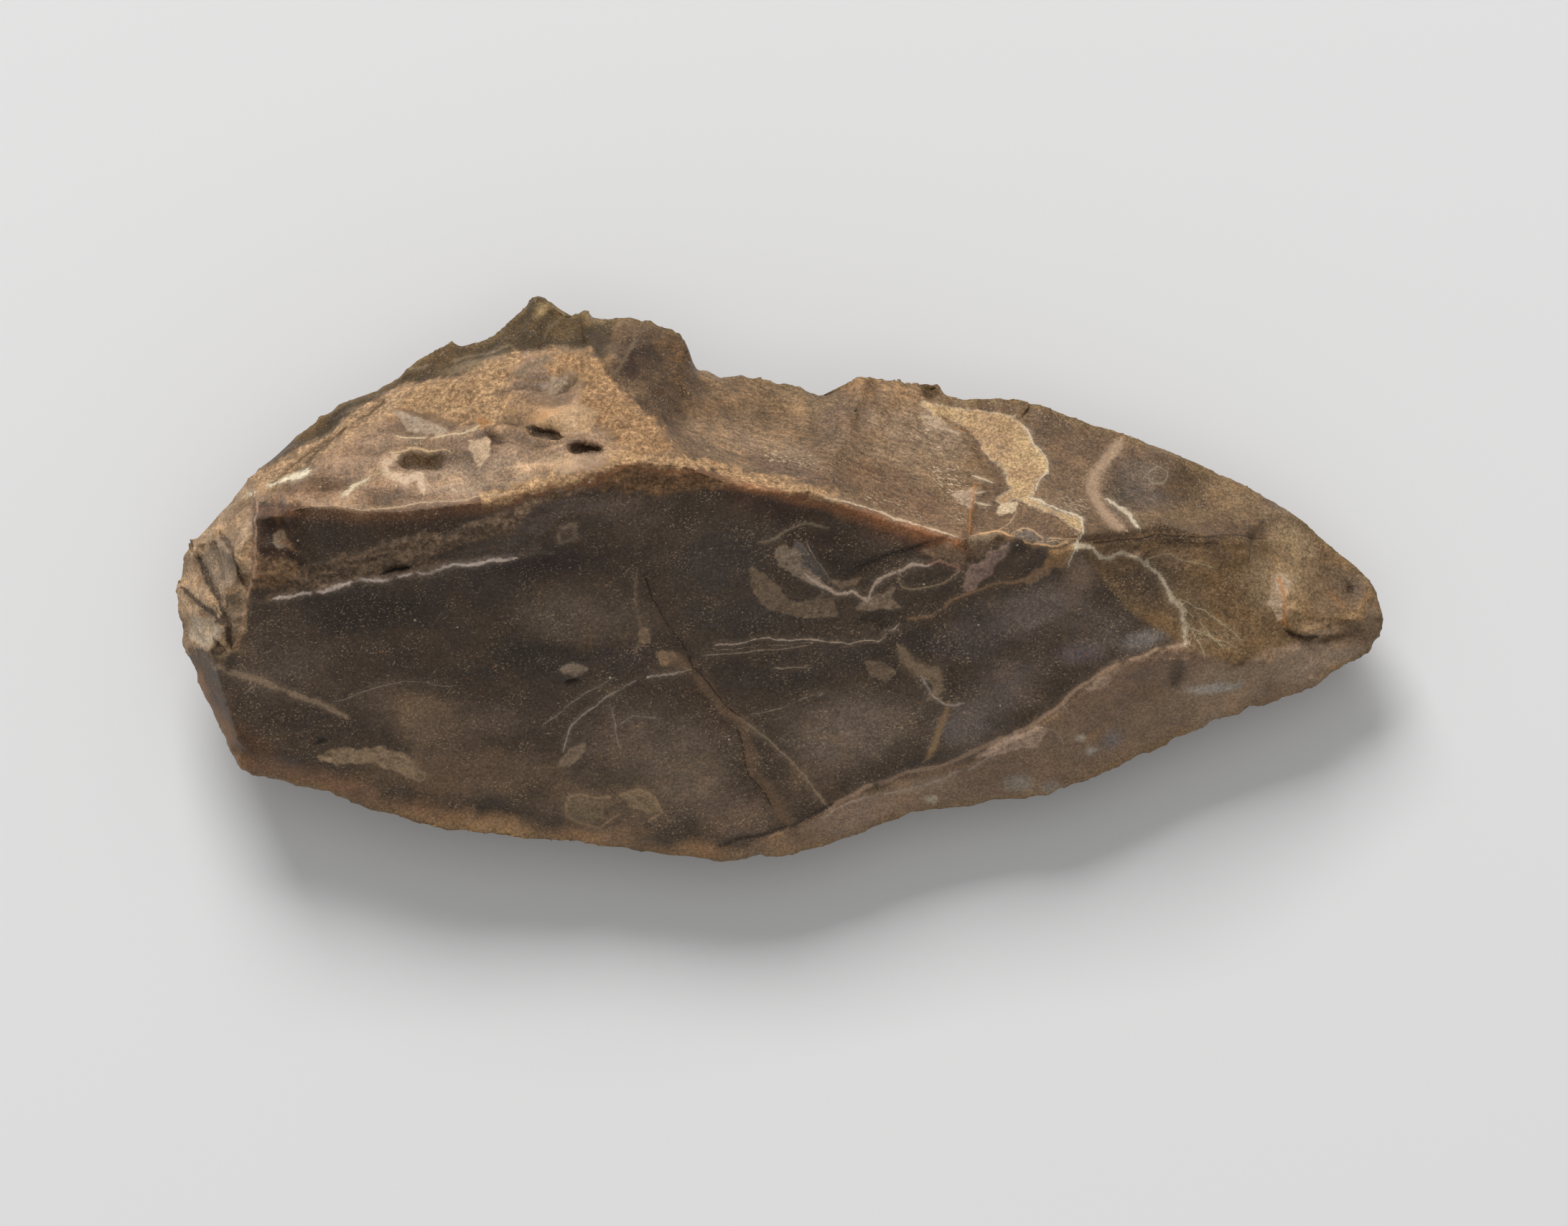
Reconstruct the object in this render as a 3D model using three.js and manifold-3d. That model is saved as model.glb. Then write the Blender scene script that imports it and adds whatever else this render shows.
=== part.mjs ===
// A stone hand axe, knapped from one piece of flint, lying on its flatter face.
// Millimetres. +X runs from the butt to the tip, +Y across to the notched edge, +Z up.
// The origin is under the middle of its length and width, on the surface that it lies on.
//
// It is made as the real one was. A roughout with a long ridge is broken off at its two ends,
// and flakes are struck from its edges, onto the ridged face and onto the underside.
// Each flake leaves a shallow hollow, and where two hollows meet there is a ridge or a sharp edge.

import * as THREE from "three";
import { mergeVertices } from "three/addons/utils/BufferGeometryUtils.js";
import Module from "manifold-3d";

const LENGTH = 150;
// The roughout runs on past each end by this much, and the breaks take it off.
const OVERRUN = 4;
const STATION_STEP = 3;

// The roughout's long lines, each as knots [x, value], straight between two knots.
const NOTCHED_EDGE = {
  y: [[-79, -2], [-66, 12.8], [-61.2, 16.8], [-55, 22], [-48.7, 24.3], [-45, 27.8], [-40.5, 31],
      [-36.3, 30], [-30.6, 35.5], [-26.5, 33], [-25, 33.4], [-22.7, 32], [-18, 33.2], [-12.6, 30.6],
      [-10.8, 26.2], [-8, 25.1], [-1.3, 26], [3.7, 23.2], [6, 23.6], [9, 26.4], [15.4, 27.6], [18.7, 25.8],
      [20.4, 22.3], [28.3, 23], [37.5, 20.2], [47.4, 16.4], [57, 12], [65, 7.4], [71, 2.2], [79, -6]],
  z: [[-79, 17], [-60, 19], [-30, 17], [-5, 18], [10, 17], [45, 15], [79, 12]],
};
const RIDGE = {
  y: [[-79, 6], [-66, 9.5], [-60, 9], [-48, 8.2], [-38, 9.3], [-29, 11.6], [-18.5, 14.6], [-4, 13],
      [6, 10.4], [13, 8], [22.5, 5], [37, 5.5], [50, 6.5], [62, 5.5], [71, -2], [79, -7]],
  z: [[-79, 35], [-66, 37], [-48, 40], [-30, 42], [-18.5, 42.5], [-4, 40], [13, 35.5], [22.5, 33.4],
      [37, 31], [50, 26.5], [62, 20.5], [71, 17], [79, 14]],
};
// Where the broad dark face ends and the bevel down to the long edge begins.
const BEVEL = {
  y: [[-79, -14], [-66, -20], [-57, -23], [-30, -29], [-7, -33.6], [1, -31.2], [6, -28.3], [17.6, -24.4],
      [32.3, -17.6], [40.5, -10.4], [49.3, -8.3], [58.5, -10.2], [62, -8.6], [79, -6.8]],
  z: [[-79, 22], [-66, 21], [-30, 17], [-7, 14.5], [6, 16.5], [17.6, 17.5], [32.3, 19.9], [40.5, 23.1],
      [49.3, 23.4], [58.5, 18.5], [79, 13.5]],
};
const LONG_EDGE = {
  y: [[-79, -17], [-70, -22], [-66, -24.3], [-57, -26.5], [-50, -29.1], [-42, -31.3], [-30, -32.6],
      [-18, -33.9], [-6.5, -35.4], [4, -33.9], [9, -31.9], [16.5, -29.1], [26, -28.6], [34, -26.6],
      [45, -22.1], [54, -17.5], [61, -15.4], [66, -13.4], [70, -10.4], [79, -7.5]],
  z: [[-79, 17], [-50, 16.5], [-20, 13.5], [10, 12.5], [45, 12], [79, 11.5]],
};
// How high the underside lies above the table. Its middle is flat, and the axe rests there.
const KEEL = {
  z: [[-79, 8], [-66, 5], [-52, 1.5], [-34, 0], [22, 0], [45, 2], [62, 5], [79, 9]],
};

// Shares of the cross-section. The broad face dips and the notched side swells by a share of the
// thickness, and the flat keel reaches out by a share of the way to each edge.
const FACE_DIP = 0.025;
const SIDE_SWELL = 0.06;
const KEEL_REACH = 0.43;
const HAUNCH_REACH = 0.83;
// The notched side follows its edge's jags only near the edge. Above that it keeps to the edge's
// broad way, the mean over this much to either side.
const BROAD = 7;

// Where the two ends are broken off: the break's line in plan, its height on the edge,
// and how steeply it rises above that line and falls below it, in degrees.
const BREAKS = [
  { from: [-65.4, 13.6], to: [-74.6, 4.4], z: 18, up: 70, down: 50 },
  { from: [-75.1, 3], to: [-74.7, -6], z: 16, up: 66, down: 55 },
  { from: [-74.4, -8], to: [-67.2, -24], z: 16, up: 72, down: 50 },
  { from: [75.2, -6], to: [73.9, -1], z: 13, up: 55, down: 45 },
  { from: [72.2, -10], to: [75.2, -6], z: 12, up: 50, down: 45 },
];

// Flakes, each from a point of the edge to where it died out, in plan, on one face. A third
// number is a height above that face, for a flake that ran up to the ridge and took its crest,
// or one struck into a break. Its width is across its middle, and its hollow is how far it dips.
const RIDGED_FACE_FLAKES = [
  // Small trimming flakes from the notched edge, butt to tip.
  { from: [-60, 18.5], to: [-57.5, 15], width: 11, hollow: 0.6 },
  { from: [-51.5, 24.5], to: [-50.5, 21], width: 8, hollow: 0.6 },
  { from: [-43, 29.5], to: [-42.5, 23.8], width: 13, hollow: 1 },
  { from: [-35.4, 31.5], to: [-34.5, 27.5], width: 7, hollow: 0.8 },
  { from: [-28.4, 34.5], to: [-28, 28.5], width: 6, hollow: 0.7 },
  { from: [-22.6, 33.5], to: [-22.4, 27], width: 7, hollow: 0.8 },
  { from: [-14.6, 32], to: [-17, 21], width: 8, hollow: 0.9 },
  // The two big flakes that made the notch, and the small ones that nibbled its rim.
  { from: [-5, 27.2], to: [-6, 10.5, 43], width: 22, hollow: 2.4 },
  { from: [12, 29.6], to: [13, 4.5, 38], width: 30, hollow: 2.4 },
  { from: [-6, 26], to: [-6, 20.5], width: 8, hollow: 0.6 },
  { from: [0.6, 25], to: [0.8, 20], width: 7, hollow: 0.7 },
  { from: [17.8, 26.4], to: [18.2, 22], width: 4, hollow: 0.7 },
  // Towards the tip.
  { from: [24, 23.4], to: [27, 9], width: 15, hollow: 1 },
  { from: [38, 20], to: [40, 4, 32], width: 19, hollow: 1.4 },
  { from: [53, 14.4], to: [51, 4.6, 26], width: 17, hollow: 1.2 },
  { from: [66, 6.6], to: [61, -2], width: 12, hollow: 0.6 },
  // A wide flake from the tip, which ended against the dark face, and what broke off beside it.
  { from: [62, -4], to: [38, 1.5], width: 17, hollow: 1.4 },
  { from: [70.5, -11], to: [67, -5], width: 7, hollow: 0.8 },
  // The chipped crest, and the hollow that a flake left under the ridge beside it.
  { from: [38, 4.6, 32.4], to: [23, 4.2, 34.8], width: 9, hollow: 2.3 },
  { from: [-1, 8.2], to: [21, 4.2], width: 11, hollow: 1.1 },
  // Along the bevel.
  { from: [19, -29], to: [25, -21], width: 20, hollow: 0.6 },
  { from: [50, -20], to: [45, -10], width: 24, hollow: 0.7 },
  // The butt: a hollow behind its rim, and hackly little flakes on its break.
  { from: [-67.5, 5.2], to: [-58.8, 4.6], width: 10.5, hollow: 1.5 },
  { from: [-74.2, -6, 17], to: [-67.5, -6, 32], width: 5, hollow: 0.6 },
  { from: [-74.4, 1, 17], to: [-67.5, 0, 32], width: 6, hollow: 0.7 },
  { from: [-71, 8.5, 20], to: [-67.5, 6, 34], width: 4, hollow: 0.5 },
];

const UNDERSIDE_FLAKES = [
  { from: [-60, 17], to: [-50, 2], width: 26, hollow: 1.6 },
  { from: [-38, 30], to: [-34, 8], width: 24, hollow: 1.8 },
  { from: [-18, 33], to: [-16, 6], width: 22, hollow: 2 },
  { from: [6, 24], to: [2, 7], width: 26, hollow: 1.4 },
  { from: [28, 22], to: [26, 6], width: 22, hollow: 1.4 },
  { from: [50, 14], to: [42, 0], width: 26, hollow: 1.2 },
  { from: [-62, -24], to: [-46, -6], width: 30, hollow: 1.6 },
  { from: [-32, -31], to: [-28, -10], width: 28, hollow: 1.6 },
  { from: [-5, -34], to: [-6, -9], width: 26, hollow: 1.8 },
  { from: [18, -27.5], to: [14, -8], width: 24, hollow: 1.4 },
  { from: [42, -22], to: [36, -6], width: 28, hollow: 1.2 },
  { from: [68, -9], to: [54, -4], width: 18, hollow: 0.8 },
];

// Little flakes nibbled side by side along the long edge, on alternate faces. Sizes and headings
// swing by these shares from one to the next, with these turns of a sine, so that none repeats.
const RETOUCH = { first: -62, count: 28, pitch: 4.6, width: 5.2, reach: 3.6, hollow: 0.45 };
const SIZE = { swing: 0.4, turn: 2.4 };
const HEADING = { swing: 0.4, turn: 3.7 };

// A knotted line's value at one place along it.
function along(knots, place) {
  const found = knots.findIndex((knot) => knot[0] >= place);
  const after = found < 0 ? knots.length - 1 : Math.max(1, found);
  const [x0, v0] = knots[after - 1];
  const [x1, v1] = knots[after];
  return v0 + ((v1 - v0) * (place - x0)) / (x1 - x0);
}

const pointOn = (line, x) => [along(line.y, x), along(line.z, x)];
const broadly = (line, x) => (along(line, x - BROAD) + along(line, x) + along(line, x + BROAD)) / 3;
const between = (a, b, t, up = 0) => [a[0] + (b[0] - a[0]) * t, a[1] + (b[1] - a[1]) * t + up];

// One cross-section of the roughout, as [y, z] corners: over the ridge from the long edge to
// the notched edge, and back under the keel.
const NOTCHED_CORNER = 7;
function section(x) {
  const longEdge = pointOn(LONG_EDGE, x);
  const bevel = pointOn(BEVEL, x);
  const ridge = pointOn(RIDGE, x);
  const notched = pointOn(NOTCHED_EDGE, x);
  const flank = [broadly(NOTCHED_EDGE.y, x), notched[1]];
  const keel = along(KEEL.z, x);
  const thick = ridge[1] - keel;
  const haunch = (edge) => [edge[0] * HAUNCH_REACH, (keel + edge[1]) / 2];
  return [
    longEdge,
    bevel,
    between(bevel, ridge, 0.33, -FACE_DIP * thick),
    between(bevel, ridge, 0.67, -FACE_DIP * thick),
    ridge,
    between(ridge, flank, 0.35, SIDE_SWELL * thick),
    between(ridge, flank, 0.7, SIDE_SWELL * thick),
    notched,
    haunch(notched),
    [notched[0] * KEEL_REACH, keel],
    [longEdge[0] * KEEL_REACH, keel],
    haunch(longEdge),
  ];
}

// The roughout's height at a place in plan, on its ridged face or on its underside.
function heightAt(x, y, under) {
  const ring = section(x);
  const ridgedFace = ring.slice(0, NOTCHED_CORNER + 1);
  const underside = [...ring.slice(NOTCHED_CORNER), ring[0]].reverse();
  const face = under ? underside : ridgedFace;
  return along(face, THREE.MathUtils.clamp(y, face[0][0], face.at(-1)[0]));
}

// The way that the roughout faces there, outwards.
function facingAt(x, y, under) {
  const slopeX = (heightAt(x + 1, y, under) - heightAt(x - 1, y, under)) / 2;
  const slopeY = (heightAt(x, y + 1, under) - heightAt(x, y - 1, under)) / 2;
  return new THREE.Vector3(-slopeX, -slopeY, 1).multiplyScalar(under ? -1 : 1);
}

function roughout() {
  const end = LENGTH / 2 + OVERRUN;
  const knots = [NOTCHED_EDGE, LONG_EDGE, RIDGE, BEVEL].flatMap((line) => line.y.map(([x]) => x));
  const steps = Array.from({ length: Math.ceil((2 * end) / STATION_STEP) }, (_, i) => i * STATION_STEP - end);
  const stations = [...knots, ...steps].sort((a, b) => a - b);
  const apart = stations.filter((x, i) => !i || x - stations[i - 1] > STATION_STEP / 4 || x === end);
  const rings = apart.map((x) => section(x).map(([y, z]) => [x, y, z]));
  const corners = rings[0].length;
  const last = (rings.length - 1) * corners;
  const faces = [];
  for (let first = 0; first < last; first += corners) {
    for (let c = 0; c < corners; c++) {
      const a = first + c;
      const b = first + ((c + 1) % corners);
      faces.push(a, a + corners, b, b, a + corners, b + corners);
    }
  }
  for (let c = 1; c + 1 < corners; c++) {
    faces.push(0, c, c + 1);
    faces.push(last, last + c + 1, last + c);
  }
  return new THREE.BufferGeometry()
    .setAttribute("position", new THREE.Float32BufferAttribute(rings.flat(2), 3))
    .setIndex(faces);
}

const wasm = await Module();
wasm.setup();

function solidOf(geometry) {
  const bare = geometry.clone();
  bare.deleteAttribute("normal");
  bare.deleteAttribute("uv");
  const merged = mergeVertices(bare, 1e-4);
  return new wasm.Manifold(
    new wasm.Mesh({
      numProp: 3,
      vertProperties: new Float32Array(merged.attributes.position.array),
      triVerts: new Uint32Array(merged.index.array),
    }),
  );
}

function geometryOf(solid) {
  const mesh = solid.getMesh();
  return new THREE.BufferGeometry()
    .setAttribute("position", new THREE.BufferAttribute(mesh.vertProperties, 3))
    .setIndex(new THREE.BufferAttribute(mesh.triVerts, 1));
}

function placed(shape, lengthways, across, out, centre) {
  return shape.applyMatrix4(new THREE.Matrix4().makeBasis(lengthways, across, out).setPosition(centre));
}

// The two blocks that a break takes away, one above its line and one below.
const BLOCK = 60;
function blocksOf({ from, to, z, up, down }) {
  const start = new THREE.Vector3(...from, z);
  const end = new THREE.Vector3(...to, z);
  const line = end.clone().sub(start).normalize();
  const outwards = new THREE.Vector3(-line.y, line.x, 0);
  if (outwards.x * from[0] < 0) outwards.negate();
  const middle = start.lerp(end, 0.5);
  return [[up, 1], [down, -1]].map(([slope, side]) => {
    const angle = THREE.MathUtils.degToRad(slope);
    const out = outwards.clone().multiplyScalar(Math.sin(angle)).setZ(side * Math.cos(angle));
    const across = new THREE.Vector3().crossVectors(out, line);
    const centre = middle.clone().addScaledVector(out, BLOCK / 2);
    return solidOf(placed(new THREE.BoxGeometry(BLOCK, BLOCK, BLOCK), line, across, out, centre));
  });
}

// The flake that leaves one scar, as an ellipsoid lying on the roughout's face. Its half-thickness
// is the hollow times its stoutness, and it runs past the edge by a share of its reach.
const PAST_EDGE = 0.12;
const STOUTNESS = 5;
const RIM = Math.sqrt(1 - (1 - 1 / STOUTNESS) ** 2);
const SMALL = 10;
function flakeOf({ from, to, width, hollow }, under) {
  const onFace = ([x, y, z]) => new THREE.Vector3(x, y, z ?? heightAt(x, y, under));
  const start = onFace(from);
  const end = onFace(to);
  const middle = start.clone().lerp(end, 0.5);
  const onBreak = from.length > 2;
  const facing = onBreak ? new THREE.Vector3(0, 0, 1) : facingAt(middle.x, middle.y, under);
  const travel = end.clone().sub(start);
  const reach = travel.length() * (1 + PAST_EDGE);
  travel.normalize();
  const across = new THREE.Vector3().crossVectors(facing, travel).normalize();
  const out = new THREE.Vector3().crossVectors(travel, across);
  const thickness = hollow * STOUTNESS;
  const shape = new THREE.IcosahedronGeometry(1, width > SMALL ? 5 : 3);
  shape.scale(reach / 2 / RIM, width / 2 / RIM, thickness);
  const centre = end.clone().addScaledVector(travel, -reach / 2).addScaledVector(out, thickness - hollow);
  return solidOf(placed(shape, travel, across, out, centre));
}

function retouch() {
  return Array.from({ length: RETOUCH.count }, (_, i) => {
    const x = RETOUCH.first + i * RETOUCH.pitch;
    const edge = along(LONG_EDGE.y, x);
    const size = 1 + SIZE.swing * Math.sin(i * SIZE.turn);
    const aside = HEADING.swing * Math.sin(i * HEADING.turn);
    const reach = RETOUCH.reach * size;
    const flake = { from: [x, edge], to: [x + reach * aside, edge + reach] };
    return flakeOf({ ...flake, width: RETOUCH.width * size, hollow: RETOUCH.hollow * size }, i % 2 === 1);
  });
}

const cutters = [
  ...BREAKS.flatMap(blocksOf),
  ...RIDGED_FACE_FLAKES.map((flake) => flakeOf(flake, false)),
  ...UNDERSIDE_FLAKES.map((flake) => flakeOf(flake, true)),
  ...retouch(),
];
const knapped = cutters.reduce((left, cutter) => left.subtract(cutter), solidOf(roughout()));

const axe = new THREE.Group();
const flint = new THREE.MeshStandardMaterial({ color: 0x5d5145, roughness: 0.45, metalness: 0 });
const stone = new THREE.Mesh(geometryOf(knapped), flint);
stone.name = "hand_axe";
axe.add(stone);

export default axe;
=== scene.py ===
# A stone hand axe, knapped from one piece of flint, lying on its flatter face on a pale table.
# The scene is in metres. Sizes and places on the stone are in millimetres, times MM.
# +X runs from the butt to the tip, +Y across to the notched edge, +Z up.

import itertools
import math

import bmesh
import bpy
import numpy as np
from mathutils.kdtree import KDTree
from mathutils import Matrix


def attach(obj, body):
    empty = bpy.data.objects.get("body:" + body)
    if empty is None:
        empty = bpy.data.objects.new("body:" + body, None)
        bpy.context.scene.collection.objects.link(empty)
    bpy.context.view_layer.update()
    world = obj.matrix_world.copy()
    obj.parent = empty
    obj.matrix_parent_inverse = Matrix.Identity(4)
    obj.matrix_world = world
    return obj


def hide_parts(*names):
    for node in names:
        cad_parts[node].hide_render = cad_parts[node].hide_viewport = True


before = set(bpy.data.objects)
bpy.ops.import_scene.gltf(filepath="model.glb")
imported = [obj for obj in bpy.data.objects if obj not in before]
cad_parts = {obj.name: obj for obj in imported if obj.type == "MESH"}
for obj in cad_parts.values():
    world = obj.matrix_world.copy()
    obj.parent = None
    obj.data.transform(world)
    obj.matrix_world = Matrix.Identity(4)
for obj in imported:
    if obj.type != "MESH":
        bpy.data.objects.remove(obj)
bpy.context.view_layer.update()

MM = 0.001

# ---- The table, the light and the camera ----
# A pale matt table, a soft key light from beyond the notched edge, and a weak overhead fill.
# The camera looks straight down, with a long lens, so that the outline isn't distorted.

bpy.ops.object.select_all(action="DESELECT")
TABLE_SIDE = 6
bpy.ops.mesh.primitive_plane_add(size=TABLE_SIDE)
table = bpy.context.object
table.name = "table"
table_paint = bpy.data.materials.new("table_paint")
table_paint.use_nodes = True
paint = table_paint.node_tree.nodes["Principled BSDF"]
paint.inputs["Base Color"].default_value = (0.80, 0.80, 0.80, 1)
paint.inputs["Roughness"].default_value = 0.9
paint.inputs["Specular IOR Level"].default_value = 0.1
table.data.materials.append(table_paint)


def area_light(name, azimuth, height, distance, size, watts):
    """A square lamp that faces the stone. Azimuth, from +X towards +Y, and height are in degrees."""
    turn, lift = math.radians(azimuth), math.radians(height)
    bpy.ops.object.light_add(type="AREA")
    lamp = bpy.context.object
    lamp.name = name
    lamp.data.size = size
    lamp.data.energy = watts
    flat = math.cos(lift) * distance
    lamp.location = (flat * math.cos(turn), flat * math.sin(turn), math.sin(lift) * distance)
    lamp.rotation_euler = (math.pi / 2 - lift, 0, turn + math.pi / 2)


area_light("key", azimuth=104, height=41, distance=2.4, size=1.0, watts=45)
area_light("overhead", azimuth=90, height=88, distance=2.4, size=2, watts=9)

world = bpy.data.worlds.new("studio")
world.use_nodes = True
world.node_tree.nodes["Background"].inputs["Color"].default_value = (1, 1, 1, 1)
world.node_tree.nodes["Background"].inputs["Strength"].default_value = 0.3
bpy.context.scene.world = world
bpy.context.scene.view_settings.view_transform = "Standard"

LENS = 400
VIEW_WIDTH = 194.8 * MM
VIEW_MIDDLE = (0.13 * MM, -4.1 * MM)
EDGE_HEIGHT = 15 * MM
bpy.ops.object.camera_add(rotation=(0, 0, 0))
camera = bpy.context.object
camera.data.lens = LENS
camera.location = (*VIEW_MIDDLE, EDGE_HEIGHT + VIEW_WIDTH * LENS / camera.data.sensor_width)
bpy.context.scene.camera = camera

# ---- The stone ----
# One piece of flint, knapped all over. It keeps the solid's form: the same ridges and scars, but with
# the facets of the big scars smoothed and the ridges between them kept sharp.

SAME_PLACE = 0.01 * MM
VOXEL = 0.32 * MM
SCAR_RIDGE = math.radians(21)
CREST = math.radians(35)
MOST_TRIANGLES = 190_000

bpy.ops.object.select_all(action="DESELECT")
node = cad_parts["hand_axe"]
stone = bpy.data.objects.new("flint", node.data.copy())
bpy.context.scene.collection.objects.link(stone)
bpy.context.view_layer.objects.active = stone
stone.select_set(True)
bpy.ops.object.mode_set(mode="EDIT")
bpy.ops.mesh.select_all(action="SELECT")
bpy.ops.mesh.remove_doubles(threshold=SAME_PLACE)
bpy.ops.mesh.select_all(action="DESELECT")
bpy.ops.mesh.select_mode(type="EDGE")
bpy.ops.mesh.edges_select_sharp(sharpness=SCAR_RIDGE)
bpy.ops.transform.edge_crease(value=1)
bpy.ops.object.mode_set(mode="OBJECT")

# The rim's own jags stay sharp as well.
RIM_JAG = math.radians(14)
JAG_CREASE = 0.8
form = bmesh.new()
form.from_mesh(stone.data)
crease_layer = form.verts.layers.float.new("crease_vert")
for vert in form.verts:
    ends = [
        edge.other_vert(vert).co
        for edge in vert.link_edges
        if len(edge.link_faces) == 2 and edge.link_faces[0].normal.z * edge.link_faces[1].normal.z < 0
    ]
    if len(ends) == 2 and (ends[0] - vert.co).angle(vert.co - ends[1], 0) > RIM_JAG:
        vert[crease_layer] = JAG_CREASE
form.to_mesh(stone.data)
form.free()


def sharp_edges(mesh, least_angle):
    """Spots about 1 mm apart along the edges as sharp as that: place, facing, and whether on the rim."""
    sharp = bmesh.new()
    sharp.from_mesh(mesh)
    found = []
    for edge in sharp.edges:
        if len(edge.link_faces) < 2 or edge.calc_face_angle_signed() < least_angle:
            continue
        one, other = (face.normal for face in edge.link_faces)
        start, end = (vert.co / MM for vert in edge.verts)
        pieces = max(1, round((end - start).length))
        for piece in range(pieces):
            place = start.lerp(end, (piece + 0.5) / pieces)
            found.append((*place, *(one + other).normalized(), one.z * other.z < 0))
    sharp.free()
    return np.array(found)


edges = sharp_edges(stone.data, CREST)
ON_RIM = 6
rim = edges[edges[:, ON_RIM] > 0]
crests = edges[edges[:, ON_RIM] == 0]


def apply(kind, **settings):
    """Puts a modifier on the stone and applies it at once."""
    modifier = stone.modifiers.new(kind.lower(), kind)
    for name, value in settings.items():
        setattr(modifier, name, value)
    bpy.ops.object.modifier_apply(modifier=modifier.name)


apply("SUBSURF", levels=2, render_levels=2)
apply("REMESH", mode="VOXEL", voxel_size=VOXEL, adaptivity=0)


def read(domain, name, width):
    """A measure of every vertex, one row each."""
    values = np.zeros(len(domain) * width)
    domain.foreach_get(name, values)
    return values.reshape(-1, width)


# ---- The markings ----
# What the flint holds, mapped on the ridged face as lines and outlines in plan, in millimetres:
# weathered rind, sandy patches, pale veins, rusty seams, cracks and fossils, and some painted shadows and
# highlights.

RIDGE = [(-66, 9.5), (-59, 9), (-50, 8.5), (-40, 9.5), (-30, 11.3), (-18.5, 14.7), (-10, 13.4),
         (-4, 12.6), (5, 10.2), (13, 7.8), (22.5, 4.8), (36, 5), (46, 6), (60, 5.6)]

RIND = [(-67, 13), (-63.3, 14.4), (-55.5, 18.6), (-52.9, 21.4), (-48, 23.7), (-40.2, 25.2),
        (-33, 28.4), (-24, 28.8), (-22, 25.2), (-19.9, 22.7), (-15.7, 19.2), (-12.5, 15.4),
        (-18.5, 14.7), (-25, 12.4), (-30, 11.3), (-40, 9.5), (-50, 8.5), (-59, 9), (-66, 9.5)]
# Borders that two or three zones share.
BEVEL_BORDER = [(49.5, -8), (41, -10.2), (37, -14), (32.5, -17.2), (26, -21), (20, -23.6),
                (14, -24.7), (7, -28), (0, -31.2), (-8, -34.5)]
TIP_BORDER = [(66, -7.5), (60, -9), (56, -11)]
BUTT_BORDER = [(-67.6, -8.4), (-66.3, -6.4), (-66, -1.6), (-65.2, 1)]
DARK_FACE = [
    *RIDGE[:11], (36, 5), (42, -3), *BEVEL_BORDER, (-12, -38), (-66, -30), (-76, -12), (-69.8, -10.6),
    *BUTT_BORDER]
OLIVE_EDGE = [(-70, 9), (-63.3, 14.4), (-55.5, 18.6), (-48, 23.7), (-40.2, 25.2), (-33, 28.4), (-24, 28.8),
              (-22, 25), (-18, 40), (-60, 40), (-80, 20)]
BROWN_SCARS = [(-12.5, 15.6), (-15.7, 19.2), (-20, 23), (-22, 27), (-20, 36), (26, 36), (24, 21),
               (26, 13), (23.5, 9), (22.5, 4.8), (13, 7.8), (5, 10.2), (-4, 12.6)]
TIP_SIDE = [(24, 21), (26, 13), (23.5, 9), (22.5, 5), (36, 5), (42, -3), (49.5, -8), *TIP_BORDER[::-1],
            (80, -6), (80, 12), (40, 30), (24, 30)]
TIP_FLAKE = [(36, 4.4), (46, 5.4), (60, 5.2), (70, 2), (77, -4), *TIP_BORDER, (49.5, -8), (42, -3)]
BEVEL = [*BEVEL_BORDER, (-12, -40), (80, -40), (80, -6), *TIP_BORDER]
BUTT = [(-80, -9.5), (-71, -9.4), (-69.6, -10), *BUTT_BORDER, (-65, 9), (-66.5, 11.6), (-72, 14), (-80, 10)]
BUTT_HOLLOW = [(-65.2, 0.6), (-65, 9), (-64, 10), (-60.6, 9), (-59.4, 6.6), (-59.6, 3), (-58.7, 0.8),
               (-61, -0.6)]

# Sandy patches: the colour of the sand, and the outline.
SANDY = [
    ("#b3926f", [(-67, 12.3), (-63.3, 14.2), (-55.5, 18.4), (-52.9, 21.2), (-48, 23.5), (-46, 22.6),
                 (-52, 18.3), (-58, 14.6), (-64, 11.3)]),
    ("#b3906a", [(-47, 23.8), (-40, 25), (-33, 28.3), (-31, 26.5), (-36, 23), (-33, 20.5),
                 (-37, 18.6), (-44, 19.4), (-48, 21.8)]),
    ("#ab8660", [(-31, 28), (-24, 28.5), (-21, 24.5), (-15.5, 19), (-12.6, 15.8), (-17, 15.2),
                 (-20.5, 17), (-24, 20.8), (-28, 25)]),
    ("#75604c", [(-61, 0.2), (-58.7, 1.6), (-48.8, 4.4), (-40.8, 6), (-34, 8.6), (-28, 11),
                 (-24, 11.8), (-29, 8), (-37, 4.4), (-43, 1.6), (-48.5, 0.5), (-56.7, -0.8), (-64, -2.6)]),
    ("#7a5c40", [(-23, 12.6), (-18.5, 13.9), (-8, 12.8), (-6, 11.6), (-14, 10.6), (-22, 11)]),
    ("#7d6147", [(-65.4, 2.6), (-62, 3.4), (-59, 1), (-61, -0.8), (-66, -1.2)]),
    ("#a88c68", [(-70.4, -7.4), (-68.4, -7), (-67.6, -8.6), (-69.6, -9.8), (-71, -9)]),
]
# A narrow streak of sand along the crest, its paleness partly a painted highlight on the crest.
CREST_SAND_AND_HIGHLIGHT_COLOUR = "#b8936b"
CREST_SAND_HALF = 0.75
CREST_SAND = [(-36, 10), (-27, 12.3), (-19, 15), (-14, 14.4), (-9, 14.1), (-5.5, 12.9), (-1, 12), (6, 10.2)]
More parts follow.
